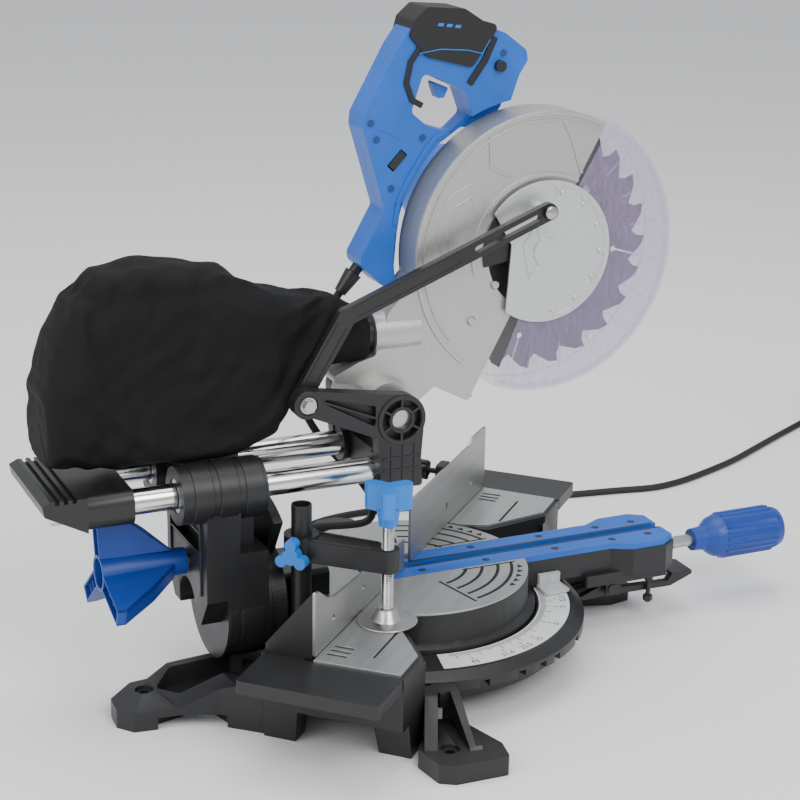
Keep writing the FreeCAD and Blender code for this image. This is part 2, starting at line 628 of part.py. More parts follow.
def upper_guard():
    """Silver casting: blade guard, dust chute and the arm to the pivot."""
    low, high = GUARD_X
    shell = rod("x", BLADE, GUARD_R, low, high)
    neck = prism(lifted(NECK), "x", low, high, 4)
    boss = rod("x", PIVOT, 30, -40, 40)
    port = rod("y", (-2, TABLE + 252), 24, 0, 48)
    body = join(shell, neck, boss, port)
    room = rod("x", BLADE, GUARD_R - 4.5, low + 3.5, high - 3.5)
    chute = block((-16, -60, TABLE + 205), (11, 30, TABLE + 268))
    below = prism([(BLADE[0] + 160 * math.cos(a), BLADE[1] + 160 * math.sin(a))
                   for a in [math.radians(d) for d in (118, 150, 180, 215, 250, 298)]]
                  + [(BLADE[0], BLADE[1])], "x", low - 1, high + 1)
    cuts = [room, chute, rod("y", (-2, TABLE + 252), 19, 20, 60), rod("x", PIVOT, 9.5 + RUNNING, -60, 60),
            rod("x", PIVOT, 20, 39, 60), below, rod("x", BLADE, 60, low - 2, low + 4),
            rod("x", BLADE, 16.03, 0, high + 1)]
    body = without(body, *cuts)
    return body


def arbor_cover():
    return sector("x", BLADE, 66, 20, -24.2, -22.3, -10, 118)


def gear_case():
    low, high = GUARD_X[1], 46
    outer = join(rod("x", BLADE, 50, low, high), rod("x", MOTOR, 46, low, high),
                 prism([(BLADE[0] - 30, BLADE[1] + 40), (MOTOR[0] - 30, MOTOR[1] + 35),
                        (MOTOR[0] + 30, MOTOR[1] - 35), (BLADE[0] + 30, BLADE[1] - 40)], "x", low, high))
    room = join(rod("x", BLADE, 45, low + 4, high - 4), rod("x", MOTOR, 41, low + 4, high + 1))
    return without(outer, room, rod("x", BLADE, 16.03, low - 1, low + 5), rod("x", BLADE, 11.03, 0, 80),
                   rod("x", MOTOR, 11.03, 0, 30))


HANDLE = [(-3, 546), (-15, 556), (-53, 553), (-71, 541), (-98, 531), (-121, 514), (-123, 504), (-114, 490),
          (-103, 458), (-88, 436), (-60, 440), (-30, 420), (0, 380), (6, 340), (9, 301), (26, 291), (50, 314),
          (51, 322), (26, 367), (50, 447), (49, 459), (14, 523)]
HANDLE_GAP = [(-12, 497), (-34, 488), (-56, 478), (-66, 452), (-48, 436), (-17, 446), (0, 460)]
HANDLE_X = (10, 28, 46)               # near face, split line and far face of the handle's two shells


SWITCH_AT = (14.0, TABLE + 415.0)     # middle of the rocker switch, (y, z)
SWITCH_TURN = -47.0


def along_switch(half_length, half_width, low, high):
    """A block across the handle's side, lined up with the rocker switch."""
    bar = block((low, -half_length, -half_width), (high, half_length, half_width))
    bar.rotate(V(0, 0, 0), V(1, 0, 0), SWITCH_TURN)
    bar.translate(V(0, *SWITCH_AT))
    return bar


def along_lug(shape):
    """A shape drawn along Z, laid on the lead's way out of the handle: +Z goes into the lug."""
    shape.rotate(V(0, 0, 0), V(1, 0, 0), -math.degrees(math.atan2(*LUG_SLOPE)))
    shape.translate(V(*LUG))
    return shape


def handle_shell(low, high):
    shell = prism(lifted(HANDLE), "x", low, high, 6)
    gap = prism(lifted(HANDLE_GAP), "x", low - 1, high + 1, 6)
    slide_slot = prism(lifted([(-26, 485), (-46, 478), (-40, 500), (-22, 505)]), "x", 20, 36)
    button = rod("x", (-92, TABLE + 500), 5.5 + RUNNING, low - 1, high + 1)
    return without(shell, gap, rod("x", BLADE, 146, 0, 26), slide_slot, button,
                   rod("x", MOTOR, 50, 0, 80), rod("x", BLADE, 56, 0, 80),
                   along_switch(10.6, 4.3, 5, 17),
                   along_lug(rod("z", (0, 0), 6.02, -20, 12)))


def grip_sleeve():
    """Soft grip over the top of the D handle."""
    bar = [(4, 532), (0, 547), (-14, 559), (-53, 556), (-72, 544), (-90, 539), (-62, 500), (-14, 512)]
    near, _, far = HANDLE_X
    outer = prism(lifted(bar), "x", near - 3, far + 3, 5)
    inner = prism(lifted(HANDLE), "x", near - 0.02, far + 0.02, 6)
    return outer.cut(inner)


def motor_housing():
    low, high = 46, 135
    shell = turned([(0, high), (40, high), (45, high - 6), (46, high - 20), (46, low), (42.5, low),
                    (42.5, high - 6), (0, high - 6)], "x", MOTOR)
    vents = []
    for n in range(14):
        centre = polar(MOTOR, 30, 360 / 14 * n)
        vents.append(rod("x", centre, 2.6, high - 10, high + 1))
    return without(shell, *vents)


def field_core():
    return bush("x", MOTOR, 42.4, 26.5, 62, 104)


def motor_bearings():
    seats = [bush("x", BLADE, 16, 8 + RUNNING, 6, 17), bush("x", BLADE, 11, 6 + RUNNING, 42.0, 46),
             bush("x", MOTOR, 11, 5 + RUNNING, GUARD_X[1], GUARD_X[1] + 4),
             bush("x", MOTOR, 11, 5 + RUNNING, 122, 129)]
    return group(*seats)


def armature():
    return join(rod("x", MOTOR, 5, 17.5, 127), rod("x", MOTOR, 25.6, 64, 102), rod("x", MOTOR, 14, 106, 118),
                rod("x", MOTOR, 38, 49, 58), rod("x", MOTOR, 13, 26, 38))


def output_spindle():
    return join(rod("x", BLADE, 8, 1.5, 20), rod("x", BLADE, 6, 20, 46), rod("x", BLADE, 41.4, 26, 38),
                rod("x", BLADE, 15, 3.6, 5.8))


def saw_blade():
    """Toothed disc with gullets, expansion slots and its bore."""
    points = []
    pitch = 360 / BLADE_TEETH
    for n in range(BLADE_TEETH):
        a = 90 + pitch * n
        points += [polar(BLADE, BLADE_R, a), polar(BLADE, BLADE_R - 3, a + 0.30 * pitch),
                   polar(BLADE, BLADE_R - 11, a + 0.62 * pitch), polar(BLADE, BLADE_R - 15, a + 0.80 * pitch),
                   polar(BLADE, BLADE_R - 9, a + 0.97 * pitch)]
    disc = prism(points, "x", -1.0, 1.0)
    slots = []
    for n in range(4):
        a = 97 + 90 * n
        slots.append(slot("x", polar(BLADE, BLADE_R - 34, a), polar(BLADE, BLADE_R - 10, a + 2), 0.9, -3, 3))
        slots.append(rod("x", polar(BLADE, BLADE_R - 35, a), 3, -3, 3))
    return without(disc, rod("x", BLADE, 8.0, -5, 5), *slots)


def arbor_set():
    inner = bush("x", BLADE, 24, 8.0, 1.0, 3.6)
    outer = bush("x", BLADE, 24, 6.0, -4.0, -1.0)
    bolt = join(rod("x", BLADE, 6.0, -4, 1.5), rod("x", BLADE, 10, -12, -4))
    return group(inner, outer.cut(rod("x", BLADE, 6.0, -4, -1)), bolt.cut(hexagon("x", BLADE, 8, -13, -8)))


def hub_plate():
    """Metal hub of the lower guard, with the pin that the link's slot guides."""
    low, high = CLEAR_X[0] - 2.4, CLEAR_X[0]
    disc = rod("x", BLADE, HUB_R, low, high)
    cut = prism([(BLADE[0] + 44, BLADE[1] - 90), (BLADE[0] + 90, BLADE[1] - 90), (BLADE[0] + 90, BLADE[1] + 90),
                 (BLADE[0] + 56, BLADE[1] + 40), (BLADE[0] + 38, BLADE[1] + 10)], "x", -40, -20)
    pin = rod("x", LINK_TIP, 6, -39.5, low)
    boss = rod("x", BLADE, 14, low - 2, high)
    rivets = [rod("x", polar(BLADE, HUB_R - 6, a), 3, low - 1.5, high) for a in (100, 128, 156, 184, 212, 240)]
    return join(disc.cut(cut), pin, boss, *rivets)


def clear_guard():
    start, end = CLEAR_ARC
    low, high = CLEAR_X
    near = sector("x", BLADE, CLEAR_R[1], 58, low, low + 2, start, end)
    far = sector("x", BLADE, CLEAR_R[1], 118, high - 2, high, start, end)
    rim = sector("x", BLADE, CLEAR_R[1], CLEAR_R[0], low, high, start, end)
    return join(near, far, rim)


def link_arm():
    """Bent bar from the head bracket to the lower guard."""
    low, high = -50, -42
    elbow = (89, TABLE + 283)
    body = join(slot("x", LINK_BOLT, elbow, 9, low, high), slot("x", elbow, LINK_TIP, 8.5, low, high))
    far = [LINK_TIP[n] + (elbow[n] - LINK_TIP[n]) * 0.06 for n in (0, 1)]
    near = [LINK_TIP[n] + (elbow[n] - LINK_TIP[n]) * 0.36 for n in (0, 1)]
    body = without(body, slot("x", far, near, 3.4, low - 1, high + 1), rod("x", LINK_BOLT, 4.05, -60, -30))
    collar = bush("x", LINK_BOLT, 8, 4.05, -51.6, low)
    screw = rod("x", LINK_TIP, 7, low - 4, low)
    return join(body, collar, screw)


def trigger():
    return prism(lifted([(-27, 486.5), (-44, 479.5), (-39.5, 470), (-33, 470), (-29, 480)]), "x", 21, 35, 1.5)


def lock_off_button():
    return rod("x", (-92, TABLE + 500), 5.5, 4, 26)


def light_switch():
    return along_switch(9.6, 4, 8, 14)


# ---- dust bag (head frame) ---------------------------------------------------------------------------------
BAG = [(150, 160), (300, 160), (374, 160), (378, 240), (352, 322), (262, 350), (160, 330), (150, 322)]


def dust_bag():
    wide = prism(lifted(BAG), "x", -50, 50, 14)
    throat = prism(lifted([(50, 232), (128, 230), (162, 240), (162, 322), (80, 293), (50, 274)]), "x",
                   -30, 26, 8)
    bag = wide.fuse(throat).removeSplitter()
    return bag.cut(rod("y", (-2, TABLE + 252), 19.5, 40, 64))


def bag_frame():
    """Collar that grips the dust port."""
    return bush("y", (-2, TABLE + 252), 19.0, 16.5, 44, 64)


# ---- mains lead --------------------------------------------------------------------------------------------
def tangent_path(points):
    """Straight runs joined by the largest tangent arcs their lengths allow, and the arcs' radii."""
    edges, radii, start = [], [], points[0]
    for n in range(1, len(points) - 1):
        before, here, after = points[n - 1], points[n], points[n + 1]
        u, w = (before - here), (after - here)
        reach = 0.45 * min(u.Length, w.Length)
        u.normalize()
        w.normalize()
        turn = math.pi - u.getAngle(w)
        radius = reach / math.tan(turn / 2)
        middle = u + w
        middle.normalize()
        centre = here + middle * (radius / math.cos(turn / 2))
        a, b = here + u * reach, here + w * reach
        edges.append(Part.LineSegment(start, a).toShape())
        edges.append(Part.Arc(a, centre - middle * radius, b).toShape())
        radii.append(radius)
        start = b
    edges.append(Part.LineSegment(start, points[-1]).toShape())
    return Part.Wire(edges), radii


def tube_along(points, radius, name):
    path, radii = tangent_path([V(*p) for p in points])
    direction = V(*points[1]) - V(*points[0])
    section = Part.Wire([Part.makeCircle(radius, V(*points[0]), direction)])
    tube = path.makePipeShell([section], True, False)
    if tube.Volume < 0:
        tube.reverse()
    ideal = math.pi * radius ** 2 * path.Length
    print(f"{name}: length {path.Length:.0f} mm, smallest radius {min(radii):.0f} mm, "
          f"volume ratio {tube.Volume / ideal:.4f}, radii {[round(r) for r in radii]}")
    return tube


# the held lead, from the motor down past the rails to the clip on the base; in the row's base frame at rest
def head_to_base(x, y, z):
    c, s = math.cos(math.radians(MITRE)), math.sin(math.radians(MITRE))
    return c * x - s * y, s * x + c * y, z


CLIP = (78.0, 140.0, 18.0)            # the cord clip at the back of the base
HELD_LEAD = [LUG, (36, LUG[1] + 61 * 0.61, LUG[2] - 61 * 0.79), (58, 92, TABLE + 226), (74, 94, TABLE + 188),
             (76, 84, TABLE + 150), (65, 66, TABLE + 112), (46, 44, TABLE + 86), (32, 26, TABLE + 66)]
HELD_LEAD = [head_to_base(*p) for p in HELD_LEAD] + [
    (16, 44, TABLE + 34), (30, 84, TABLE + 18), (36, 124, TABLE + 9), (36, 146, 74), (40, 152, 45), (50, 147, 23),
    (CLIP[0] - 2.6, CLIP[1] + 1, CLIP[2])]
# the free lead goes down behind the rear foot, round it and past the wing, along the bench
FREE_LEAD = [(CLIP[0] + 21, CLIP[1], CLIP[2]), (120, 151, 17), (148, 176, 10), (184, 206, CORD_R),
             (228, 226, CORD_R), (270, 224, CORD_R), (308, 202, CORD_R), (342, 170, CORD_R), (374, 130, CORD_R),
             (434, 42, CORD_R), (464, 0, CORD_R), (490, -37, CORD_R), (527, -86, CORD_R),
             (552, -124, CORD_R), (590, -151, CORD_R), (643, -175, CORD_R), (695, -196, CORD_R),
             (760, -214, CORD_R), (820, -231, CORD_R), (870, -246, CORD_R), (905, -261, CORD_R)]
COIL = (939.0, -305.0)                # centre of the stored turns
COIL_R = (40.0, 52.0)


def held_lead():
    return tube_along(HELD_LEAD, CORD_R, "held lead")


def supply_cord():
    return tube_along(FREE_LEAD, CORD_R, "free lead")


def cord_coil():
    return bush("z", COIL, COIL_R[1], COIL_R[0] - 12, 0, 26)


def cord_clip():
    """Strain relief on the back of the base."""
    x, y, z = CLIP
    foot = block((x + 3, 132, z - 7), (x + 17, y, z + 7))
    return join(rod("x", (y, z), 7, x, x + 20), foot).cut(rod("x", (y, z), CORD_R + 0.02, x - 1, x + 21))


def mains_plug():
    """Moulded three-pin plug lying on the coil."""
    x, y, z = COIL[0], COIL[1] + 22, 26.3
    body = block((x - 2, y - 24, z), (x + 46, y + 24, z + 20), 8)
    collar = rod("x", (y, z + 10), 6.5, x - 22, x - 2)
    pins = [block((x + 46, y - 4, z + 3), (x + 62, y + 4, z + 7)),
            block((x + 46, y - 14, z + 11), (x + 62, y - 8, z + 15)),
            block((x + 46, y + 8, z + 11), (x + 62, y + 14, z + 15))]
    return join(body, collar, *pins)


def motor_gland():
    """Strain relief where the lead leaves the handle."""
    relief = join(rod("z", (0, 0), 6, -14, 11), cone("z", (0, 0), 6, 9, -37, -13))
    return along_lug(relief.cut(rod("z", (0, 0), CORD_R + 0.02, -50, 20)))


# ---- export ------------------------------------------------------------------------------------------------
BASE_NODES = {
    "base_casting": base_casting, "table_plates": table_plates,
    "fence_left": lambda: fence(FENCE_LEFT, FENCE_HOLES["left"]),
    "fence_right": lambda: fence(FENCE_RIGHT, FENCE_HOLES["right"]),
    "fence_brackets": fence_brackets,
    "mitre_scale": mitre_scale, "mitre_pivot_bolt": mitre_pivot_bolt, "clamp_post": clamp_post,
    "post_lock_knob": post_lock_knob, "clamp_arm": clamp_arm, "clamp_arm_knob": clamp_arm_knob,
    "clamp_spindle": clamp_spindle, "clamp_knob": clamp_knob, "held_lead": held_lead, "cord_clip": cord_clip,
    "supply_cord": supply_cord, "cord_coil": cord_coil, "mains_plug": mains_plug,
}
HEAD_NODES = {
    "turntable": turntable, "turntable_plate": turntable_plate, "kerf_board": kerf_board,
    "turntable_screws": turntable_screws, "mitre_pointer": mitre_pointer, "bevel_scale": bevel_scale,
    "mitre_lock_rod": mitre_lock_rod, "mitre_grip": mitre_grip, "detent_lever": detent_lever,
    "bevel_arm": bevel_arm, "rail_bushes": rail_bushes, "bevel_hub_bolt": bevel_hub_bolt,
    "bevel_lock_stud": bevel_lock_stud, "bevel_lock_handle": bevel_lock_handle, "slide_rails": slide_rails,
    "rear_cap": rear_cap, "head_bracket": head_bracket, "bracket_pins": bracket_pins, "motor_gland": motor_gland,
    "return_spring": return_spring, "slide_lock_knob": slide_lock_knob, "upper_guard": upper_guard,
    "arbor_cover": arbor_cover, "gear_case": gear_case,
    "handle_shell_near": lambda: handle_shell(*HANDLE_X[:2]),
    "handle_shell_far": lambda: handle_shell(*HANDLE_X[1:]),
    "grip_sleeve": grip_sleeve, "motor_housing": motor_housing, "field_core": field_core,
    "motor_bearings": motor_bearings, "armature": armature, "output_spindle": output_spindle,
    "saw_blade": saw_blade, "arbor_set": arbor_set, "hub_plate": hub_plate, "clear_guard": clear_guard,
    "link_arm": link_arm, "trigger": trigger, "lock_off_button": lock_off_button,
    "light_switch": light_switch, "dust_bag": dust_bag, "bag_frame": bag_frame,
}


def main():
    os.makedirs("parts", exist_ok=True)
    for nodes, angle in ((BASE_NODES, 0.0), (HEAD_NODES, MITRE)):
        for name, make in nodes.items():
            shape = make()
            shape.rotate(V(0, 0, 0), V(0, 0, 1), angle)
            shape.translate(V(0, -BOLTS_Y, 0))
            if not shape.isValid() or not shape.Solids:
                print(f"{name}: valid {shape.isValid()}, solids {len(shape.Solids)}")
            shape.exportStep(f"parts/{name}.step")


main()
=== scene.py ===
"""Looks of a sliding compound mitre saw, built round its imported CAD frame.

Sizes inside the operators are millimetres in one of two frames. The base frame has X along the fence and the
bench at Z = 0; the head frame is the same frame turned about the mitre axis, so the saw head is square in it.
"""

import json
import math

import bmesh
import bpy
from bpy.props import FloatProperty, FloatVectorProperty, PointerProperty
from mathutils import Matrix, Vector, noise


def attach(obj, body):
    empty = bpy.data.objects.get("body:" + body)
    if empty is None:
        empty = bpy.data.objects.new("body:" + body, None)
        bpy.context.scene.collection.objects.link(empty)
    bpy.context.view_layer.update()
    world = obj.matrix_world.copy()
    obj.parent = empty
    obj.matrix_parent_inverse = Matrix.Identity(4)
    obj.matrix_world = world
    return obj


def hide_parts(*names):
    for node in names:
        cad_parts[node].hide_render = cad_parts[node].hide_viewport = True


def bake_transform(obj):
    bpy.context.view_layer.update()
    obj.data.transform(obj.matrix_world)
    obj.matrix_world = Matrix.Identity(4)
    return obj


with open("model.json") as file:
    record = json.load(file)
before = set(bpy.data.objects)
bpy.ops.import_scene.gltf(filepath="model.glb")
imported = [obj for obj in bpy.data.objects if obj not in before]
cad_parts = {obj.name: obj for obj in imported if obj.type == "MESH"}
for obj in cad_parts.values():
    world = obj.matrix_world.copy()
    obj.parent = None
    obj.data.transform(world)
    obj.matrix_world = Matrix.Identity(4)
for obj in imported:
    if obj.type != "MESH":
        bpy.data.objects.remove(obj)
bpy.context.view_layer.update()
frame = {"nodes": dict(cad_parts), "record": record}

bl_info = {
    "name": "Sliding mitre saw looks",
    "version": (1, 0, 0),
    "blender": (4, 5, 0),
    "location": "3D View > Sidebar > Mitre saw",
    "description": "Builds the visible pieces, finishes and stage of a sliding mitre saw",
    "category": "Object",
}

# ---- places shared with the part ---------------------------------------------------------------------------
MM = 0.001
TABLE = 94.0
BOLTS_Y = 30.0
BLADE = (-130.0, TABLE + 322.0)
PIVOT = (39.0, TABLE + 181.0)
LINK_BOLT = (135.0, TABLE + 207.0)
LINK_TIP = (-121.0, TABLE + 367.0)
RAIL_X, RAIL_Z = 42.0, TABLE + 126.0
SCALE_Z = TABLE - 37.0
GUARD_R, GUARD_FACE = 138.0, -22.0
LUG = (36.0, 39.0, TABLE + 312.0)
CLIP = (78.0, 140.0, 18.0)
COIL = (939.0, -305.0)
CORD_R = 4.0

BASE = Matrix.Translation((0, -BOLTS_Y * MM, 0)) @ Matrix.Scale(MM, 4)
HEAD = Matrix.Translation((0, -BOLTS_Y * MM, 0)) @ Matrix.Rotation(math.radians(45), 4, "Z") @ Matrix.Scale(
    MM, 4)
AXIS = {"x": Vector((1, 0, 0)), "y": Vector((0, 1, 0)), "z": Vector((0, 0, 1))}


BAG_FRAMES = 18                 # frames of cloth simulation
BAG_CAP = 0.012                 # furthest that the simulation may move a point of the bag, in metres


def place(point, axis, level):
    a, b = point
    return Vector({"x": (level, a, b), "y": (a, level, b), "z": (a, b, level)}[axis])


def polar(centre, radius, degrees):
    a = math.radians(degrees)
    return centre[0] + radius * math.cos(a), centre[1] + radius * math.sin(a)


def lifted(points):
    return [(y, TABLE + z) for y, z in points]


def head_to_base(x, y, z):
    c = math.sqrt(0.5)
    return c * (x - y), c * (x + y), z


# ---- shader writing ----------------------------------------------------------------------------------------
class Sock:
    """A node's output socket, whose operators add Math nodes."""

    def __init__(self, tree, socket):
        self.tree, self.socket = tree, socket

    def math(self, operation, *others):
        return self.tree.node("ShaderNodeMath", {"operation": operation}, self, *others)

    def __add__(self, other):
        return self.math("ADD", other)

    def __mul__(self, other):
        return self.math("MULTIPLY", other)

    def __sub__(self, other):
        return self.math("SUBTRACT", other)

    def __rsub__(self, other):
        return (self * -1.0) + other

    def __truediv__(self, other):
        return self.math("DIVIDE", other)

    __radd__, __rmul__ = __add__, __mul__

    def __gt__(self, other):
        return self.math("GREATER_THAN", other)

    def __lt__(self, other):
        return self.math("LESS_THAN", other)


class Finish:
    """A material under construction."""

    def __init__(self, name):
        self.material = bpy.data.materials.new(name)
        self.material.use_nodes = True
        self.nodes = self.material.node_tree.nodes
        self.links = self.material.node_tree.links
        self.shader = self.nodes["Principled BSDF"]

    def node(self, kind, settings=None, *values, out=0, **named):
        """Adds a node: its settings first, then the values or links of its sockets. Returns one output."""
        made = self.nodes.new(kind)
        for key, value in (settings or {}).items():
            if key == "stops":
                ramp = made.color_ramp
                while len(ramp.elements) < len(value):
                    ramp.elements.new(0.5)
                for element, (at, shade) in zip(ramp.elements, value):
                    element.position = at
                    element.color = (*shade, 1) if len(shade) == 3 else shade
            else:
                setattr(made, key, value)
        for key, value in [*enumerate(values), *named.items()]:
            self.set(made.inputs[key if isinstance(key, int) else key.replace("_", " ")], value)
        return Sock(self, made.outputs[out])

    def set(self, socket, value):
        if isinstance(value, Sock):
            self.links.new(value.socket, socket)
        else:
            socket.default_value = value

    def place(self, scale=(1, 1, 1), turn=(0, 0, 0), which="Object"):
        where = self.node("ShaderNodeTexCoord", None, out=which)
        return self.node("ShaderNodeMapping", None, Vector=where, Scale=scale, Rotation=turn)

    def noise(self, at, scale, detail=4.0, rough=0.6):
        return self.node("ShaderNodeTexNoise", None, Vector=at, Scale=scale, Detail=detail, Roughness=rough)

    def ramp(self, value, *stops):
        return self.node("ShaderNodeValToRGB", {"stops": [(at, (v, v, v)) for at, v in stops]}, value)

    def mix(self, factor, a, b):
        made = self.nodes.new("ShaderNodeMix")
        made.data_type = "RGBA"
        for socket, value in ((made.inputs[0], factor), (made.inputs[6], a), (made.inputs[7], b)):
            self.set(socket, value)
        return Sock(self, made.outputs[2])

    def principled(self, **values):
        for key, value in values.items():
            self.set(self.shader.inputs[key.replace("_", " ")], value)
        return self.material

    def bump(self, height, strength=0.3, distance=0.0005):
        return self.node("ShaderNodeBump", None, Height=height, Strength=strength, Distance=distance)


def rgba(colour):
    return (*colour, 1.0)


FINISHES = {}


def finish(name, make):
    if name not in FINISHES:
        FINISHES[name] = make(name)
    return FINISHES[name]


def painted_casting(name, colour, rough=0.42, speck=0.12, grain=2200.0, lump=0.25):
    """Satin paint on a casting: fine orange peel, faint specks and dust in broad patches."""
    f = Finish(name)
    at = f.place()
    fine, broad = f.noise(at, grain, 2.0), f.noise(at, 22.0, 5.0)
    tone = f.ramp(fine, (0.35, 0.0), (0.65, 1.0))
    dark = [c * (1 - speck) for c in colour]
    light = [min(1.0, c * (1 + speck) + speck * 0.02) for c in colour]
    shade = f.mix(tone, rgba(dark), rgba(light))
    worn = f.mix(f.ramp(broad, (0.4, 0.0), (0.75, 0.5)), shade, rgba([c * 1.12 + 0.006 for c in colour]))
    return f.principled(Base_Color=worn, Roughness=broad * 0.22 + (rough - 0.1), Metallic=0.0,
                        Normal=f.bump(fine, lump, 0.0003))


def silver_casting(name, colour, speck=0.25):
    """Aluminium casting with metallic speckled paint."""
    f = Finish(name)
    at = f.place()
    grain, dots, broad = f.noise(at, 1500.0, 3.0), f.noise(at, 4200.0, 1.0), f.noise(at, 14.0, 4.0)
    light = [min(1, c * 1.14) for c in colour]
    shade = f.mix(f.ramp(grain, (0.3, 0.0), (0.7, 1.0)), rgba([c * (1 - speck) for c in colour]), rgba(light))
    shade = f.mix(f.ramp(dots, (0.62, 0.0), (0.7, 0.55)), shade, rgba([c * 0.6 for c in colour]))
    return f.principled(Base_Color=shade, Metallic=0.75, Roughness=broad * 0.16 + 0.30,
                        Normal=f.bump(grain, 0.35, 0.0003))


def brushed(name, colour, along, rough=0.3, metallic=0.95, fine=900.0):
    """Ground metal with streaks along one axis of the row, in degrees about Z."""
    f = Finish(name)
    at = f.place(scale=(0.02, 1.0, 1.0), turn=(0, 0, math.radians(-along)))
    streak, wide = f.noise(at, fine, 4.0), f.noise(at, fine * 0.08, 3.0)
    broad = f.noise(f.place(), 9.0, 4.0)
    tone = f.mix(streak, rgba([c * 0.72 for c in colour]), rgba([min(1, c * 1.2) for c in colour]))
    tone = f.mix(f.ramp(wide, (0.45, 0.0), (0.7, 0.35)), tone, rgba([c * 0.7 for c in colour]))
    return f.principled(Base_Color=tone, Metallic=metallic,
            Roughness=streak * 0.2 + (rough - 0.06) + broad * 0.1,
                        Normal=f.bump(streak, 0.22, 0.0002))


def plain_metal(name, colour, rough=0.28):
    f = Finish(name)
    at = f.place()
    broad, fine = f.noise(at, 40.0, 5.0), f.noise(at, 900.0, 3.0)
    tone = f.mix(broad, rgba([c * 0.78 for c in colour]), rgba([min(1, c * 1.12) for c in colour]))
    return f.principled(Base_Color=tone, Metallic=1.0, Roughness=broad * 0.24 + (rough - 0.12),
                        Normal=f.bump(fine, 0.08, 0.0002))


def moulded(name, colour, rough=0.38, coat=0.15, grain=3000.0):
    """Moulded plastic: fine spark texture, slight tone drift and a thin sheen."""
    f = Finish(name)
    at = f.place()
    fine, broad = f.noise(at, grain, 2.0), f.noise(at, 12.0, 4.0)
    tone = f.mix(f.ramp(broad, (0.3, 0.0), (0.7, 1.0)), rgba([c * 0.88 for c in colour]),
                 rgba([min(1, c * 1.1 + 0.004) for c in colour]))
    return f.principled(Base_Color=tone, Roughness=broad * 0.18 + (rough - 0.08), Coat_Weight=coat,
                        Coat_Roughness=0.25, Normal=f.bump(fine, 0.16, 0.0002))


def soft_rubber(name, colour):
    f = Finish(name)
    at = f.place()
    fine, broad = f.noise(at, 5200.0, 2.0), f.noise(at, 30.0, 4.0)
    tone = f.mix(broad, rgba([c * 0.8 for c in colour]), rgba([c * 1.4 + 0.002 for c in colour]))
    return f.principled(Base_Color=tone, Roughness=broad * 0.15 + 0.55, Normal=f.bump(fine, 0.3, 0.0002))


def woven(name, colour):
    """Black woven cloth: crossed threads with a soft sheen."""
    f = Finish(name)
    waves = []
    for turn in (0.6, 0.6 + math.pi / 2):
        at = f.place(scale=(1, 1, 1), turn=(0.35, 0, turn))
        waves.append(f.node("ShaderNodeTexWave", {"bands_direction": "X"}, Vector=at, Scale=420.0,
                            Distortion=0.8, Detail=1.0))
    weave = waves[0] * waves[1]
    broad, slub = f.noise(f.place(), 18.0, 5.0), f.noise(f.place(scale=(1, 0.1, 1)), 700.0, 2.0)
    tone = f.mix(weave, rgba([c * 0.6 for c in colour]), rgba([c * 1.9 + 0.002 for c in colour]))
    tone = f.mix(broad * 0.4, tone, rgba([c * 1.8 + 0.003 for c in colour]))
    return f.principled(Base_Color=tone, Roughness=slub * 0.15 + 0.7, Specular_IOR_Level=0.25,
                        Normal=f.bump(weave + slub * 0.4, 0.5, 0.0004))


def clear_plastic(name, colour, see=0.72):
    """Polycarbonate: tinted, with light scuffs."""
    f = Finish(name)
    scuff = f.noise(f.place(scale=(1, 1, 0.3)), 260.0, 5.0)
    return f.principled(Base_Color=rgba(colour), Roughness=scuff * 0.2 + 0.06, IOR=1.2,
                        Alpha=f.ramp(scuff, (0.3, 1 - see), (0.75, 1 - see + 0.16)), Coat_Weight=0.6)


def printed(name, colour, rough=0.4):
    f = Finish(name)
    broad = f.noise(f.place(), 60.0, 5.0)
    tone = f.mix(broad, rgba([c * 0.9 for c in colour]), rgba([min(1, c * 1.05) for c in colour]))
    return f.principled(Base_Color=tone, Roughness=broad * 0.2 + rough - 0.1)


BLUE = (0.0015, 0.105, 0.50)


def casting_black():
    return finish("casting_black", lambda n: painted_casting(n, (0.0075, 0.0078, 0.0085), 0.40, 0.3))


def plastic_black():
    return finish("plastic_black", lambda n: moulded(n, (0.0065, 0.0065, 0.007), 0.38, 0.08))


def plastic_blue():
    return finish("plastic_blue", lambda n: moulded(n, tuple(settings().shell_colour), 0.42, 0.06))


def plastic_dark_blue():
    return finish("plastic_dark_blue", lambda n: moulded(n, (0.003, 0.045, 0.30), 0.42, 0.05))


def plastic_light_blue():
    return finish("plastic_light_blue", lambda n: moulded(n, (0.003, 0.17, 0.62), 0.36, 0.1))


def silver():
    return finish("silver_casting", lambda n: silver_casting(n, tuple(settings().guard_colour)))


def hub_silver():
    return finish("hub_silver", lambda n: silver_casting(n, (0.62, 0.63, 0.63), 0.12))


def table_steel():
    return finish("table_steel", lambda n: brushed(n, (0.52, 0.53, 0.53), 0, 0.36))


def turned_steel():
    return finish("turned_steel", lambda n: brushed(n, (0.5, 0.51, 0.51), 45, 0.36))


def fence_steel():
    return finish("fence_steel", lambda n: brushed(n, (0.42, 0.42, 0.41), 0, 0.34, fine=1300.0))


def screw_steel():
    return finish("screw_steel", lambda n: plain_metal(n, (0.5, 0.5, 0.5), 0.3))


def chrome():
    return finish("chrome", lambda n: plain_metal(n, (0.78, 0.78, 0.77), 0.16))


def grip_black():
    return finish("grip_black", lambda n: soft_rubber(n, (0.006, 0.006, 0.0065)))


def cord_black():
    return finish("cord_black", lambda n: soft_rubber(n, (0.006, 0.006, 0.0065)))


def blade_steel():
    return finish("blade_steel", lambda n: brushed(n, (0.16, 0.16, 0.165), 45, 0.32, fine=500.0))


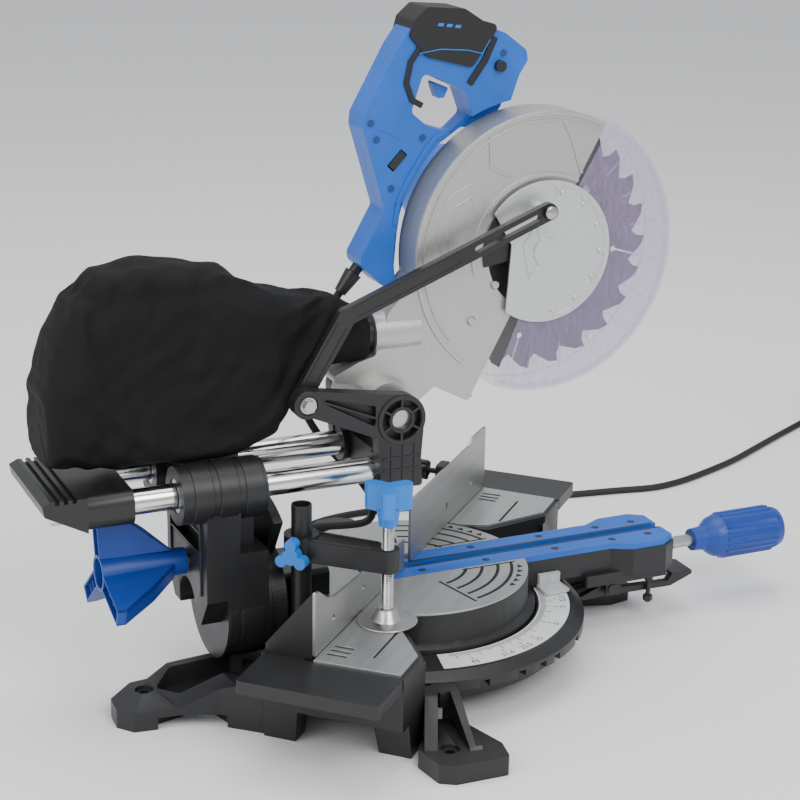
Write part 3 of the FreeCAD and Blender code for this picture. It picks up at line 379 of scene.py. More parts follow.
# ---- settings ----------------------------------------------------------------------------------------------
class SawSettings(bpy.types.PropertyGroup):
    shell_colour: FloatVectorProperty(name="Shell colour", description="Blue of the handle and motor housing",
                                      default=BLUE, subtype="COLOR", min=0, max=1)
    guard_colour: FloatVectorProperty(name="Guard colour", description="Silver paint of the blade guard",
                                      default=(0.52, 0.52, 0.50), subtype="COLOR", min=0, max=1)
    edge_width: FloatProperty(name="Edge width", description="Rounding of cast and moulded edges",
                              default=0.0008, unit="LENGTH", min=0.0001, max=0.003)
    bag_fill: FloatProperty(name="Bag fill", description="Air pressure in the dust bag while it settles",
                            default=0.6, min=0, max=8)
    light_power: FloatProperty(name="Light power", description="Strength of the key light", default=60.0,
                               unit="POWER", min=0)


def settings():
    return bpy.context.scene.saw_looks


# ---- mesh helpers ------------------------------------------------------------------------------------------
def keep_piece(name, bm, matrix, body, material, replaces=(), bevel=0.0, segments=2, sharp=35.0,
               levels=0):
    """Turns a bmesh in millimetres into a finished piece that rides on a body."""
    bm.transform(matrix)
    mesh = bpy.data.meshes.new(name)
    bm.to_mesh(mesh)
    bm.free()
    piece = bpy.data.objects.new(name, mesh)
    bpy.context.scene.collection.objects.link(piece)
    mesh.materials.append(material)
    mesh.polygons.foreach_set("use_smooth", [True] * len(mesh.polygons))
    if not levels:
        mesh.set_sharp_from_angle(angle=math.radians(sharp))
    if bevel:
        edges = piece.modifiers.new("rounded edges", "BEVEL")
        edges.width, edges.segments, edges.limit_method = bevel * MM, segments, "ANGLE"
        edges.angle_limit = math.radians(32)
        edges.harden_normals = True
    if levels:
        smooth = piece.modifiers.new("smooth", "SUBSURF")
        smooth.levels = smooth.render_levels = levels
    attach(piece, body)
    if replaces:
        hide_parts(*replaces)
    return piece


def merged(*bms):
    """One bmesh out of several."""
    whole = bms[0]
    for other in bms[1:]:
        mesh = bpy.data.meshes.new("part")
        other.to_mesh(mesh)
        other.free()
        whole.from_mesh(mesh)
        bpy.data.meshes.remove(mesh)
    return whole


def plate(points, axis, low, high, corner=0.0, steps=3):
    """A flat outline drawn out along an axis, its corners rounded."""
    bm = bmesh.new()
    face = bm.faces.new([bm.verts.new(place(p, axis, low)) for p in points])
    grown = bmesh.ops.extrude_face_region(bm, geom=[face])
    moved = [v for v in grown["geom"] if isinstance(v, bmesh.types.BMVert)]
    bmesh.ops.translate(bm, verts=moved, vec=AXIS[axis] * (high - low))
    if corner:
        upright = [e for e in bm.edges if abs((e.verts[0].co - e.verts[1].co).normalized() @ AXIS[axis]) > 0.99]
        bmesh.ops.bevel(bm, geom=upright, offset=corner, affect="EDGES", segments=steps, profile=0.5,
                material=-1,
                        clamp_overlap=True)
    bmesh.ops.recalc_face_normals(bm, faces=bm.faces)
    return bm


def box(low, high):
    bm = bmesh.new()
    bmesh.ops.create_cube(bm, size=1.0)
    size, middle = Vector(high) - Vector(low), (Vector(high) + Vector(low)) / 2
    bmesh.ops.transform(bm, matrix=Matrix.Translation(middle) @ Matrix.Diagonal((*size, 1)), verts=bm.verts)
    return bm


def turned(profile, axis, centre, steps=48):
    """A solid of revolution from (radius, height) points."""
    bm = bmesh.new()
    side = {"x": Vector((0, 1, 0)), "y": Vector((0, 0, 1)), "z": Vector((1, 0, 0))}[axis]
    origin = place(centre, axis, 0)
    verts = [bm.verts.new(origin + side * r + AXIS[axis] * h) for r, h in profile]
    edges = [bm.edges.new(pair) for pair in zip(verts, verts[1:])]
    if profile[0] != profile[-1] and profile[0][0] > 0 and profile[-1][0] > 0:
        edges.append(bm.edges.new((verts[-1], verts[0])))
    bmesh.ops.spin(bm, geom=verts + edges, cent=origin, axis=AXIS[axis], angle=2 * math.pi, steps=steps,
                   use_merge=True)
    bmesh.ops.remove_doubles(bm, verts=bm.verts, dist=0.001)
    bmesh.ops.recalc_face_normals(bm, faces=bm.faces)
    return bm


def rod(axis, centre, radius, low, high, steps=32):
    return turned([(0, low), (radius, low), (radius, high), (0, high)], axis, centre, steps)


def ring(axis, centre, outer, inner, low, high, steps=64):
    return turned([(inner, low), (outer, low), (outer, high), (inner, high)], axis, centre, steps)


def arc_bar(axis, centre, outer, inner, low, high, start, end, steps=24):
    """Part of a ring between two angles."""
    rim = [polar(centre, outer, start + (end - start) * n / steps) for n in range(steps + 1)]
    rim += [polar(centre, inner, end - (end - start) * n / steps) for n in range(steps + 1)]
    return plate(rim, axis, low, high)


def bar(points, axis, low, high, width):
    """A raised rib of one width along a line of points."""
    left, right = [], []
    for n, here in enumerate(points):
        before, after = points[max(n - 1, 0)], points[min(n + 1, len(points) - 1)]
        along = Vector((after[0] - before[0], after[1] - before[1])).normalized()
        side = Vector((-along.y, along.x)) * width / 2
        left.append((here[0] + side.x, here[1] + side.y))
        right.append((here[0] - side.x, here[1] - side.y))
    return plate(left + right[::-1], axis, low, high)


def outline(points, axis, low, high, inset):
    """A raised outline: a closed band as wide as its inset."""
    middle = sum((Vector(p) for p in points), Vector((0, 0))) / len(points)
    inner = [p + (middle - p).normalized() * inset for p in map(Vector, points)]
    bm = bmesh.new()
    rings = [[bm.verts.new(place(p, axis, level)) for p in line] for line, level in
             ((points, low), (points, high), (inner, high), (inner, low))]
    for first, second in zip(rings, rings[1:] + rings[:1]):
        for n in range(len(points)):
            after = (n + 1) % len(points)
            bm.faces.new((first[n], first[after], second[after], second[n]))
    bmesh.ops.recalc_face_normals(bm, faces=bm.faces)
    return bm


def softened(name, node, body, material, width=0.8, segments=2, angle=28.0, extra=()):
    """A merged copy of a CAD node whose flat faces are joined and whose edges are rounded."""
    bm = bmesh.new()
    bm.from_mesh(frame["nodes"][node].data)
    bmesh.ops.scale(bm, vec=(1 / MM,) * 3, verts=bm.verts)
    bmesh.ops.remove_doubles(bm, verts=bm.verts, dist=0.004)
    bmesh.ops.dissolve_limit(bm, angle_limit=math.radians(1.0), verts=bm.verts, edges=bm.edges)
    piece = keep_piece(name, merged(bm, *extra), Matrix.Scale(MM, 4), body, material, (node,), width,
                       segments)
    piece.modifiers[0].angle_limit = math.radians(angle)
    return piece


def body_of(node):
    for name, members in frame["record"]["behaviour"]["bodies"].items():
        if node in members:
            return name
    raise RuntimeError(f"no body holds {node}")


# ---- operators ---------------------------------------------------------------------------------------------
class SAW_OT_castings(bpy.types.Operator):
    """Round the edges of the cast and machined pieces and give each its finish"""

    bl_idname = "saw.castings"
    bl_label = "Castings and metal"

    def execute(self, context):
        width = context.scene.saw_looks.edge_width / MM
        rows = [
            ("base_casting", casting_black, 1.4), ("turntable", casting_black, 1.0),
            ("bevel_arm", casting_black, 1.3), ("head_bracket", casting_black, 1.1),
            ("fence_brackets", casting_black, 0.7), ("bevel_scale", casting_black, 0.6),
            ("detent_lever", casting_black, 0.8), ("clamp_arm", casting_black, 1.2),
            ("clamp_post", casting_black, 1.0), ("rear_cap", plastic_black, 1.6),
            ("table_plates", table_steel, 0.35), ("turntable_plate", turned_steel, 0.3),
            ("fence_left", fence_steel, 0.5), ("fence_right", fence_steel, 0.5),
            ("upper_guard", silver, 1.3), ("gear_case", silver, 1.4), ("kerf_board", plastic_blue, 0.4),
            ("motor_housing", plastic_blue, 1.5), ("handle_shell_far", plastic_blue, 5.0),
            ("arbor_cover", plastic_black, 0.5), ("bag_frame", plastic_black, 0.6),
            ("clamp_arm_knob", plastic_light_blue, 1.6), ("clamp_knob", plastic_light_blue, 2.0),
            ("slide_lock_knob", plastic_black, 1.2), ("post_lock_knob", plastic_black, 1.0),
            ("mitre_grip", plastic_dark_blue, 2.0), ("motor_gland", plastic_black, 0.8),
            ("cord_clip", plastic_black, 0.8), ("trigger", plastic_blue, 1.2),
            ("lock_off_button", plastic_black, 0.8), ("light_switch", plastic_black, 0.8),
            ("mains_plug", plastic_black, 2.0), ("saw_blade", blade_steel, 0.2),
            ("arbor_set", screw_steel, 0.5), ("hub_plate", hub_silver, 0.6),
            ("mitre_pivot_bolt", screw_steel, 0.5), ("bevel_hub_bolt", screw_steel, 0.6),
            ("bracket_pins", screw_steel, 0.6),
            ("turntable_screws", casting_black, 0.3),
        ]
        for node, material, size in rows:
            softened(node.replace("_", "-"), node, body_of(node), material(),
                     size * width)
        plain = {"slide_rails": chrome, "rail_bushes": screw_steel, "mitre_lock_rod": screw_steel,
                 "bevel_lock_stud": screw_steel, "return_spring": screw_steel, "field_core": screw_steel,
                 "motor_bearings": screw_steel, "armature": screw_steel, "output_spindle": screw_steel,
                 "clamp_spindle": chrome}
        for node, material in plain.items():
            mesh = frame["nodes"][node].data
            mesh.materials.clear()
            mesh.materials.append(material())
        return {"FINISHED"}


class SAW_OT_guard(bpy.types.Operator):
    """Raise the rim, ribs and blank panel on the blade guard"""

    bl_idname = "saw.guard"
    bl_label = "Blade guard details"

    def execute(self, context):
        low, high = GUARD_FACE - 1.9, GUARD_FACE + 0.5
        parts = [arc_bar("x", BLADE, 137.6, 133.4, low, high, -52, 117, 60),
                 arc_bar("x", BLADE, 129.6, 127.6, low + 0.6, high, -40, 117, 56)]
        for start, middle, end in (((131, 62), (104, 55), (88, 62)), ((128, 98), (112, 104), (84, 118))):
            line = [polar(BLADE, r, a) for r, a in (start, middle, end)]
            parts.append(bar(line, "x", low + 0.3, high, 3.0))
        panel = [(-52, 396), (-24, 383), (-14, 352), (-20, 324), (-34, 306), (-52, 318), (-60, 348),
                (-62, 380)]
        inner = [(-50, 382), (-32, 374), (-24, 350), (-28, 328), (-36, 318), (-46, 326), (-52, 350),
                (-53, 372)]
        parts.append(plate(lifted(panel), "x", low + 0.9, high, 4.0))
        parts.append(outline(lifted(inner), "x", low + 0.1, high, 2.0))
        parts.append(arc_bar("x", BLADE, 78, 73.4, low + 0.2, high, -14, 118, 40))
        keep_piece("guard-ribs", merged(*parts), HEAD, "saw_head", silver(), bevel=0.7)
        screws = []
        for radius, angle in ((72, 128), (100, -40), (60, -30)):
            at = polar(BLADE, radius, angle)
            screws.append(turned([(0, -25.0), (3.6, -24.6), (4.6, -23.4), (4.8, -21)], "x", at, 24))
        keep_piece("guard-screws", merged(*screws), HEAD, "saw_head", screw_steel())
        return {"FINISHED"}


class SAW_OT_clear_guard(bpy.types.Operator):
    """Clear lower guard with its curved ribs, and the facets and recess of its hub"""

    bl_idname = "saw.clear_guard"
    bl_label = "Lower guard"

    def execute(self, context):
        tint = finish("clear_tint", lambda n: clear_plastic(n, (0.50, 0.40, 0.66), 0.90))
        rim = arc_bar("x", BLADE, 142.5, 140.0, -26.5, 21.0, 119, 292, 72)
        near = arc_bar("x", BLADE, 141.0, 66.0, -26.4, -24.9, 119.4, 291.6, 72)
        far = arc_bar("x", BLADE, 141.0, 119.0, 19.2, 20.8, 119.4, 291.6, 72)
        keep_piece("clear-guard", merged(rim, near, far), HEAD, "lower_guard", tint,
                   ("clear_guard",), 0.3, 1)
        ribs = []
        for n in range(9):
            a = 132 + 18 * n
            line = [polar(BLADE, r, a + 0.06 * (r - 90)) for r in (96, 106, 116, 126)]
            ribs.append(bar(line, "x", -27.6, -26.2, 2.0))
        ribs.append(arc_bar("x", BLADE, 138.0, 134.6, -27.3, -26.2, 121, 290, 60))
        keep_piece("clear-guard-ribs", merged(*ribs), HEAD, "lower_guard", tint)
        diamond = [(-118, 352), (-104, 330), (-112, 296), (-130, 316)]
        pieces = [outline(lifted(diamond), "x", -30.0, -28.7, 3.0)]
        pieces.append(bar([polar(BLADE, 66, 92 + 8 * n) for n in range(22)], "x", -29.8, -28.7, 2.0))
        pieces.append(bar([polar(BLADE, r, a) for r, a in ((64, 100), (44, 96), (30, 60))], "x", -29.6,
                -28.7, 1.6))
        for n in range(7):
            pieces.append(turned([(0, -31.6), (1.8, -31.3), (2.9, -30.2), (3.1, -28.7)], "x",
                                 polar(BLADE, 60, 105 + 26 * n), 20))
        keep_piece("hub-facets", merged(*pieces), HEAD, "lower_guard", hub_silver(), bevel=0.5)
        return {"FINISHED"}


class SAW_OT_link(bpy.types.Operator):
    """Guard link: a rounded bar with pocket grooves, an open slot and its screws"""

    bl_idname = "saw.link"
    bl_label = "Guard link"

    def execute(self, context):
        softened("link-arm", "link_arm", "link_arm", plastic_black(), 1.6, 3)
        elbow = (89.0, TABLE + 283.0)
        lines = []
        for a, b, first, last in ((elbow, LINK_TIP, 0.04, 0.56), (LINK_BOLT, elbow, 0.2, 0.9)):
            along = Vector((b[0] - a[0], b[1] - a[1]))
            side = Vector((-along.y, along.x)).normalized()
            for shift in (-5.2, 5.2):
                ends = [(a[0] + along.x * t + side.x * shift, a[1] + along.y * t + side.y * shift)
                        for t in (first, last)]
                lines.append(bar(ends, "x", -50.9, -49.6, 1.4))
        keep_piece("link-ribs", merged(*lines), HEAD, "link_arm", plastic_black(), bevel=0.3)
        head = turned([(0, -55.4), (4.4, -55.2), (6.2, -54.2), (6.6, -52.4), (6.6, -50)], "x", LINK_TIP, 32)
        keep_piece("link-screw", head, HEAD, "link_arm", screw_steel())
        return {"FINISHED"}


class SAW_OT_handle(bpy.types.Operator):
    """Blue handle shell with its screw holes, shown as discs of painted shade, ridge and panel lines, and the
    soft grip
    """

    bl_idname = "saw.handle"
    bl_label = "Handle"

    def execute(self, context):
        softened("handle-shell-near", "handle_shell_near", "saw_head", plastic_blue(), 5.0, 4)
        softened("grip-sleeve", "grip_sleeve", "saw_head", grip_black(), 2.4, 4)
        # The screw wells are flat discs of darker blue laid in the bosses: painted shade standing in for the
        # shadow inside each screw hole.
        dark = finish("recess_blue", lambda n: moulded(n, (0.003, 0.04, 0.17), 0.5, 0.0))
        wells, bosses = [], []
        for y, z in ((42, 452), (36, 436), (-12, 435), (20, 388), (12, 372), (-96, 512)):
            at = (y, TABLE + z)
            wells.append(rod("x", at, 3.6, 9.72, 10.3, 24))
            bosses.append(ring("x", at, 4.6, 3.6, 9.45, 10.3, 24))
        keep_piece("screw-well-painted-shade", merged(*wells), HEAD, "saw_head", dark)
        lines = [bar(lifted([(44, 438), (33, 446), (12, 436)]), "x", 9.5, 10.3, 1.3)]
        ridge = lifted([(-36, 440), (-25, 434), (-16, 424), (4, 393), (12, 376), (16, 352)])
        lines.append(bar(ridge, "x", 8.2, 10.4, 4.4))
        keep_piece("shell-ridges", merged(*lines, *bosses), HEAD, "saw_head", plastic_blue(),
                   bevel=0.5)
        marks = []
        for n in range(3):
            y, z = -24 - 9 * n, 541 - 1.2 * n
            marks.append(plate(lifted([(y, z), (y - 5.6, z - 0.6), (y - 7, z + 2.2), (y - 1.4, z + 2.8)]),
                    "x",
                               6.3, 7.4))
        accent = lifted([(-6, 516), (-28, 519), (-56, 517), (-72, 513), (-80, 526)])
        marks.append(bar(accent, "x", 6.6, 7.4, 0.9))
        edge = lifted([(-10, 524), (2, 508), (6, 488), (0, 472), (-11, 466)])
        front = lifted([(-86, 528), (-76, 506), (-60, 484)])
        bands = merged(bar(edge, "x", 7.6, 10.6, 6.0), bar(front, "x", 7.6, 10.6, 7.0))
        keep_piece("grip-edge", bands, HEAD, "saw_head", grip_black(),
                   bevel=1.4)
        keep_piece("grip-marks", merged(*marks), HEAD, "saw_head", plastic_light_blue())
        return {"FINISHED"}


class SAW_OT_bevel_handle(bpy.types.Operator):
    """Three-winged bevel lock handle, hollow at the middle, with ribbed wings"""

    bl_idname = "saw.bevel_handle"
    bl_label = "Bevel lock handle"

    def execute(self, context):
        at, y0, y1 = (0.0, TABLE + 42.0), 236.0, 322.0
        parts = [turned([(7.2, y0), (13, y0), (14, y0 + 20), (15, y0 + 30), (18, y1), (14.5, y1),
                (12, y1 - 40),
                         (7.2, y1 - 42)], "y", at, 48)]
        wall = [(14, y1), (65, y1), (65, y1 - 9), (40, y0 + 42), (13.5, y0 + 14)]
        edge = [(65, y1), (65, y1 - 9), (40, y0 + 42), (13.5, y0 + 14), (13.5, y0 + 18), (38, y0 + 46),
                (62, y1 - 8), (62, y1)]
        for angle in (80, 200, 320):
            turn = Matrix.Translation((at[0], 0, at[1])) @ Matrix.Rotation(-math.radians(angle), 4, "Y")
            wing = [plate(wall, "z", low, low + 2.4) for low in (-9, 6.6)]
            wing.append(plate(edge, "z", -9, 9))
            wing += [box((r, y0 + 46 + (r - 30) * 1.45, -8), (r + 2, y1 - 3, 8)) for r in (28, 40, 51)]
            for bm in wing:
                bmesh.ops.transform(bm, matrix=turn, verts=bm.verts)
            parts += wing
        keep_piece("bevel-handle", merged(*parts), HEAD, "bevel_lock", plastic_dark_blue(),
                   ("bevel_lock_handle",), 0.8)
        return {"FINISHED"}


class SAW_OT_scale(bpy.types.Operator):
    """Mitre scale: pale face, degree lines and angle numbers"""

    bl_idname = "saw.scale"
    bl_label = "Mitre scale"

    def execute(self, context):
        pale = finish("scale_face", lambda n: printed(n, (0.72, 0.73, 0.72)))
        ink = finish("scale_ink", lambda n: printed(n, (0.01, 0.01, 0.01), 0.5))
        low, high = SCALE_Z - 1.0, SCALE_Z - 0.15
        face = arc_bar("z", (0, 0), 166, 135, low, high, -147, -33, 96)
        keep_piece("mitre-scale-face", face, BASE, "base", pale, ("mitre_scale",))
        ticks = []
        for degree in range(-52, 53):
            length = 12 if degree % 10 == 0 else 9 if degree % 5 == 0 else 5.5
            a = -90 + degree
            line = [polar((0, 0), 136.5, a), polar((0, 0), 136.5 + length, a)]
            ticks.append(bar(line, "z", high - 0.05, high + 0.12, 0.75))
        for degree in (-45, -31.6, -22.5, -15, 0, 15, 22.5, 31.6, 45):
            a = -90 + degree
            ticks.append(bar([polar((0, 0), 150, a), polar((0, 0), 154, a)], "z", high - 0.05,
                    high + 0.12, 1.0))
        keep_piece("mitre-scale-lines", merged(*ticks), BASE, "base", ink)
        for n, degree in enumerate((-45, -31.6, -22.5, -15, 0, 15, 22.5, 31.6, 45)):
            data = bpy.data.curves.new(f"number-{n}", "FONT")
            data.body, data.size, data.align_x, data.align_y = f"{abs(degree):g}", 9.0, "CENTER", "CENTER"
            data.extrude = 0.06
            text = bpy.data.objects.new(f"number-{n}", data)
            mesh = bpy.data.meshes.new_from_object(text)
            bm = bmesh.new()
            bm.from_mesh(mesh)
            bpy.data.objects.remove(text)
            where = polar((0, 0), 159.5, -90 + degree)
            turn = Matrix.Translation((*where, high + 0.06)) @ Matrix.Rotation(math.radians(degree), 4, "Z")
            bmesh.ops.transform(bm, matrix=turn, verts=bm.verts)
            keep_piece(f"scale-number-{n}", bm, BASE, "base", ink)
        clear = finish("pointer_clear", lambda n: clear_plastic(n, (0.75, 0.77, 0.78), 0.6))
        mesh = frame["nodes"]["mitre_pointer"].data
        mesh.materials.clear()
        mesh.materials.append(clear)
        line = box((-40.4, -161, SCALE_Z + 2.0), (-39.4, -135, SCALE_Z + 2.3))
        red = finish("pointer_red", lambda n: printed(n, (0.5, 0.02, 0.01)))
        keep_piece("pointer-line", line, HEAD, "turntable", red)
        return {"FINISHED"}


class SAW_OT_bracket(bpy.types.Operator):
    """Ribs and rings on the head bracket, the rail bearings and the bevel arm"""

    bl_idname = "saw.bracket"
    bl_label = "Bracket and bearing details"

    def execute(self, context):
        near = -66.0
        parts = [ring("x", PIVOT, 24.6, 20.4, near - 1.6, near + 1),
                ring("x", PIVOT, 13.2, 10.2, near - 1.2, near + 1)]
        for n in range(6):
            line = [polar(PIVOT, r, 30 + 60 * n) for r in (12.6, 21)]
            parts.append(bar(line, "x", near - 1.0, near + 4, 2.6))
        for y in (24, 36, 48):
            parts.append(box((near - 1.0, y, RAIL_Z - 12), (near + 1, y + 2.2, PIVOT[1] - 26)))
        for dz in (4, 16):
            parts.append(box((near - 1.0, 19, RAIL_Z + dz), (near + 1, 58, RAIL_Z + dz + 2.2)))
        parts.append(bar([(66, PIVOT[1] + 5), (122, LINK_BOLT[1] + 2)], "x", near - 0.6, near + 5, 2.4))
        parts.append(ring("x", LINK_BOLT, 13.8, 9.4, near - 1.2, near + 1, 32))
        keep_piece("bracket-ribs", merged(*parts), HEAD, "carriage", casting_black(),
                bevel=0.5)
        bands = []
        for s in (-1, 1):
            for y in (178, 203, 228):
                bands.append(ring("y", (s * RAIL_X, RAIL_Z), 29.2, 27, y, y + 19, 56))
            bands.append(ring("y", (s * RAIL_X, RAIL_Z), 20, 13.4, 173.6, 175.4, 40))
        keep_piece("bearing-bands", merged(*bands), HEAD, "bevel_arm", casting_black(),
                bevel=1.0)
        hub = [ring("y", (0, TABLE), 60.8, 52, 176, 199, 72), ring("y", (0, TABLE), 60.8, 56, 203, 212, 72)]
        for x in (-46, 44):
            hub.append(box((x, 233.4, TABLE + 22), (x + 3, 236, RAIL_Z - 30)))
        for z in (TABLE + 62, TABLE + 84):
            hub.append(box((-44, 233.4, z), (44, 235.4, z + 2.6)))
        keep_piece("bevel-arm-ribs", merged(*hub), HEAD, "bevel_arm", casting_black(),
                bevel=0.7)
        cap = []
        for n in range(7):
            x = -50 + 15 * n
            cap.append(box((x, 377, RAIL_Z + 2), (x + 7, 382, RAIL_Z + 12)))
        keep_piece("cap-ribs", merged(*cap), HEAD, "carriage", plastic_black(), bevel=1.0)
        return {"FINISHED"}


class SAW_OT_clamp(bpy.types.Operator):
    """Thread on the clamp spindle, and the ribs that stiffen the clamp arm"""

    bl_idname = "saw.clamp"
    bl_label = "Hold-down clamp"

    def execute(self, context):
        screw = (-135.0, -30.0)
        profile = [(0, TABLE + 12.0)]
        z = TABLE + 13.0
        while z < TABLE + 98:
            profile += [(5.1, z), (6.0, z + 0.85)]
            z += 1.75
        profile.append((0, z))
        keep_piece("spindle-thread", turned(profile, "z", screw, 28), BASE, "clamp_screw", chrome())
        foot = turned([(0, TABLE + 0.15), (29, TABLE + 0.15), (29.4, TABLE + 0.8), (28.6, TABLE + 1.6),
                (15, TABLE + 2.4),
                       (12.6, TABLE + 6), (9.6, TABLE + 12), (8, TABLE + 13.4), (0, TABLE + 13.4)], "z",
                               screw, 56)
        keep_piece("clamp-foot", foot, BASE, "clamp_screw", screw_steel(),
                   ("clamp_spindle",))
        high = TABLE + 74
        ribs = [bar([(-147, 44), (-144.5, -18)], "z", high - 1, high + 1.6, 2.4),
                bar([(-125, 44), (-126.5, -18)], "z", high - 1, high + 1.6, 2.4)]
        keep_piece("clamp-arm-ribs", merged(*ribs), BASE, "clamp_arm", casting_black(),
                bevel=0.5)
        return {"FINISHED"}


class SAW_OT_table(bpy.types.Operator):
    """Arc slots and saw-tooth marks of the turntable plate, and the dark seams of the table"""

    bl_idname = "saw.table"
    bl_label = "Table details"

    def execute(self, context):
        dark = finish("seam_black", lambda n: moulded(n, (0.004, 0.004, 0.005), 0.7, 0.0))
        seams, low, high = [], TABLE - 0.4, TABLE + 0.08
        for side in (1, -1):
            for radius in (60, 76, 92, 106):
                start = -90 + math.degrees(math.asin(34 / radius))
                ends = (start, -16) if side > 0 else (196, 180 - start)
                seams.append(arc_bar("z", (0, 0), radius + 1.7, radius - 1.7, low, high, *ends, 18))
            seams.append(bar([(side * 33, -46), (side * 33, -106)], "z", low, high, 2.2))
            outward = -13 if side > 0 else 193
            seams.append(bar([polar((0, 0), r, outward) for r in (52, 111)], "z", low, high, 2.6))
            for n in range(5):
                middle = -90 + side * (24 + 6 * n)
                tooth = [polar((0, 0), r, middle + turn) for r, turn in ((112, -2.2), (112, 2.2), (118, 0))]
                seams.append(plate(tooth, "z", low, high))
        keep_piece("turntable-seams", merged(*seams), HEAD, "turntable", dark)
        rails = [box((x, -291, TABLE + 0.1), (x + 3, 51, TABLE + 0.45)) for x in (4.6, -7.6)]
        keep_piece("kerf-lips", merged(*rails), HEAD, "turntable", plastic_black())
        ribs = [rod("y", polar((0, TABLE - 24), 23.4, quarter + turn), 1.9, -436, -372, 12)
                for quarter in (0, 90, 180, 270) for turn in (-26, -9, 9, 26)]
        keep_piece("grip-ribs", merged(*ribs), HEAD, "mitre_lock", plastic_dark_blue())
        return {"FINISHED"}


class SAW_OT_dust_bag(bpy.types.Operator):
    """Slack cloth dust bag, settled by a cloth simulation"""

    bl_idname = "saw.dust_bag"
    bl_label = "Dust bag"


    def execute(self, context):
        rows = [(53, 227, 274, 25), (84, 226, 293, 26), (122, 223, 312, 31), (142, 192, 318, 40),
                (153, 167, 322, 47), (190, 162, 332, 49), (238, 160, 344, 50), (282, 160, 349, 50),
                (318, 160, 342, 50), (344, 160, 318, 49), (364, 161, 280, 47), (376, 163, 236, 42)]
        bm = bmesh.new()
        loops = []
        for y, bottom, top, half in rows:
            circle = bmesh.ops.create_circle(bm, segments=28, radius=1.0)["verts"]
            middle = TABLE + (bottom + top) / 2
            for v in circle:
                x, h = v.co.x, v.co.y
                round_x = math.copysign(abs(x) ** 0.62, x)
                round_h = math.copysign(abs(h) ** 0.62, h)
                v.co = Vector((round_x * half - 2, y, middle + round_h * (top - bottom) / 2))
            loops.append([e for e in bm.edges if e.verts[0] in circle and e.verts[1] in circle])
        for first, second in zip(loops, loops[1:]):
            bmesh.ops.bridge_loops(bm, edges=first + second)
        for loop in (loops[0], loops[-1]):
            bmesh.ops.holes_fill(bm, edges=loop, sides=0)
        bmesh.ops.recalc_face_normals(bm, faces=bm.faces)
        cloth = finish("bag_cloth", lambda n: woven(n, (0.003, 0.003, 0.0034)))
        bag = keep_piece("dust-bag", bm, HEAD, "saw_head", cloth, ("dust_bag",))
        self.settle(context, bag)
        return {"FINISHED"}

    def settle(self, context, bag):
        """Remesh, let the cloth sag a little, and crease it."""
        remesh = bag.modifiers.new("even", "REMESH")
        remesh.mode, remesh.voxel_size, remesh.use_smooth_shade = "VOXEL", 0.0062, True
        bag.parent = None
        self.simulate(context, bag)
        bm = bmesh.new()
        bm.from_mesh(bag.data)
        bm.normal_update()
        for v in bm.verts:
            p = HEAD.inverted() @ v.co
            fade = min(1.0, max(0.0, (p.y - 60) / 60)) * min(1.0, max(0.15, (372 - p.y) / 50))
            long = noise.noise(Vector((p.x * 0.012, p.y * 0.022 + p.z * 0.03, p.z * 0.012 - p.y * 0.014)))
            fine = noise.noise(Vector((p.x * 0.05, p.y * 0.045 + p.z * 0.05,
                    p.z * 0.03 - p.y * 0.04)) + Vector((7, 3, 1)))
            crease = 1 - abs(long) * 3.2
            v.co += v.normal * (-0.0034 * max(0.0, crease) + 0.0018 * fine) * fade
        bm.to_mesh(bag.data)
        bm.free()
        bag.data.polygons.foreach_set("use_smooth", [True] * len(bag.data.polygons))
        smooth = bag.modifiers.new("smooth", "SUBSURF")
        smooth.levels = smooth.render_levels = 1
        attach(bag, "saw_head")

    def apply(self, context, bag):
        graph = context.evaluated_depsgraph_get()
        settled = bpy.data.meshes.new_from_object(bag.evaluated_get(graph), depsgraph=graph)
        bag.modifiers.clear()
        bag.data = settled

    def simulate(self, context, bag):
        self.apply(context, bag)
        rest = [v.co.copy() for v in bag.data.vertices]
        pins = bag.vertex_groups.new(name="held")
        inverse = HEAD.inverted()
        for v in bag.data.vertices:
            p = inverse @ v.co
            if p.y < 100:
                pins.add([v.index], 1.0, "REPLACE")
            elif p.y > 340 or p.z > TABLE + 330:
                pins.add([v.index], 0.25, "REPLACE")
        cloth = bag.modifiers.new("cloth", "CLOTH")
        set_up = cloth.settings
        set_up.quality, set_up.mass = 6, 0.25
        set_up.vertex_group_mass = "held"
        set_up.use_pressure, set_up.uniform_pressure_force = True, context.scene.saw_looks.bag_fill
        set_up.tension_stiffness = set_up.compression_stiffness = 12
        set_up.bending_stiffness, set_up.shrink_min = 0.6, -0.03
        set_up.effector_weights.gravity = 0.35
        cloth.point_cache.frame_start, cloth.point_cache.frame_end = 1, BAG_FRAMES
        for n in range(1, BAG_FRAMES + 1):
            context.scene.frame_set(n)
        self.apply(context, bag)
        for v, start in zip(bag.data.vertices, rest):
            shift = v.co - start
            if shift.length > BAG_CAP:
                v.co = start + shift.normalized() * BAG_CAP
        context.scene.frame_set(1)


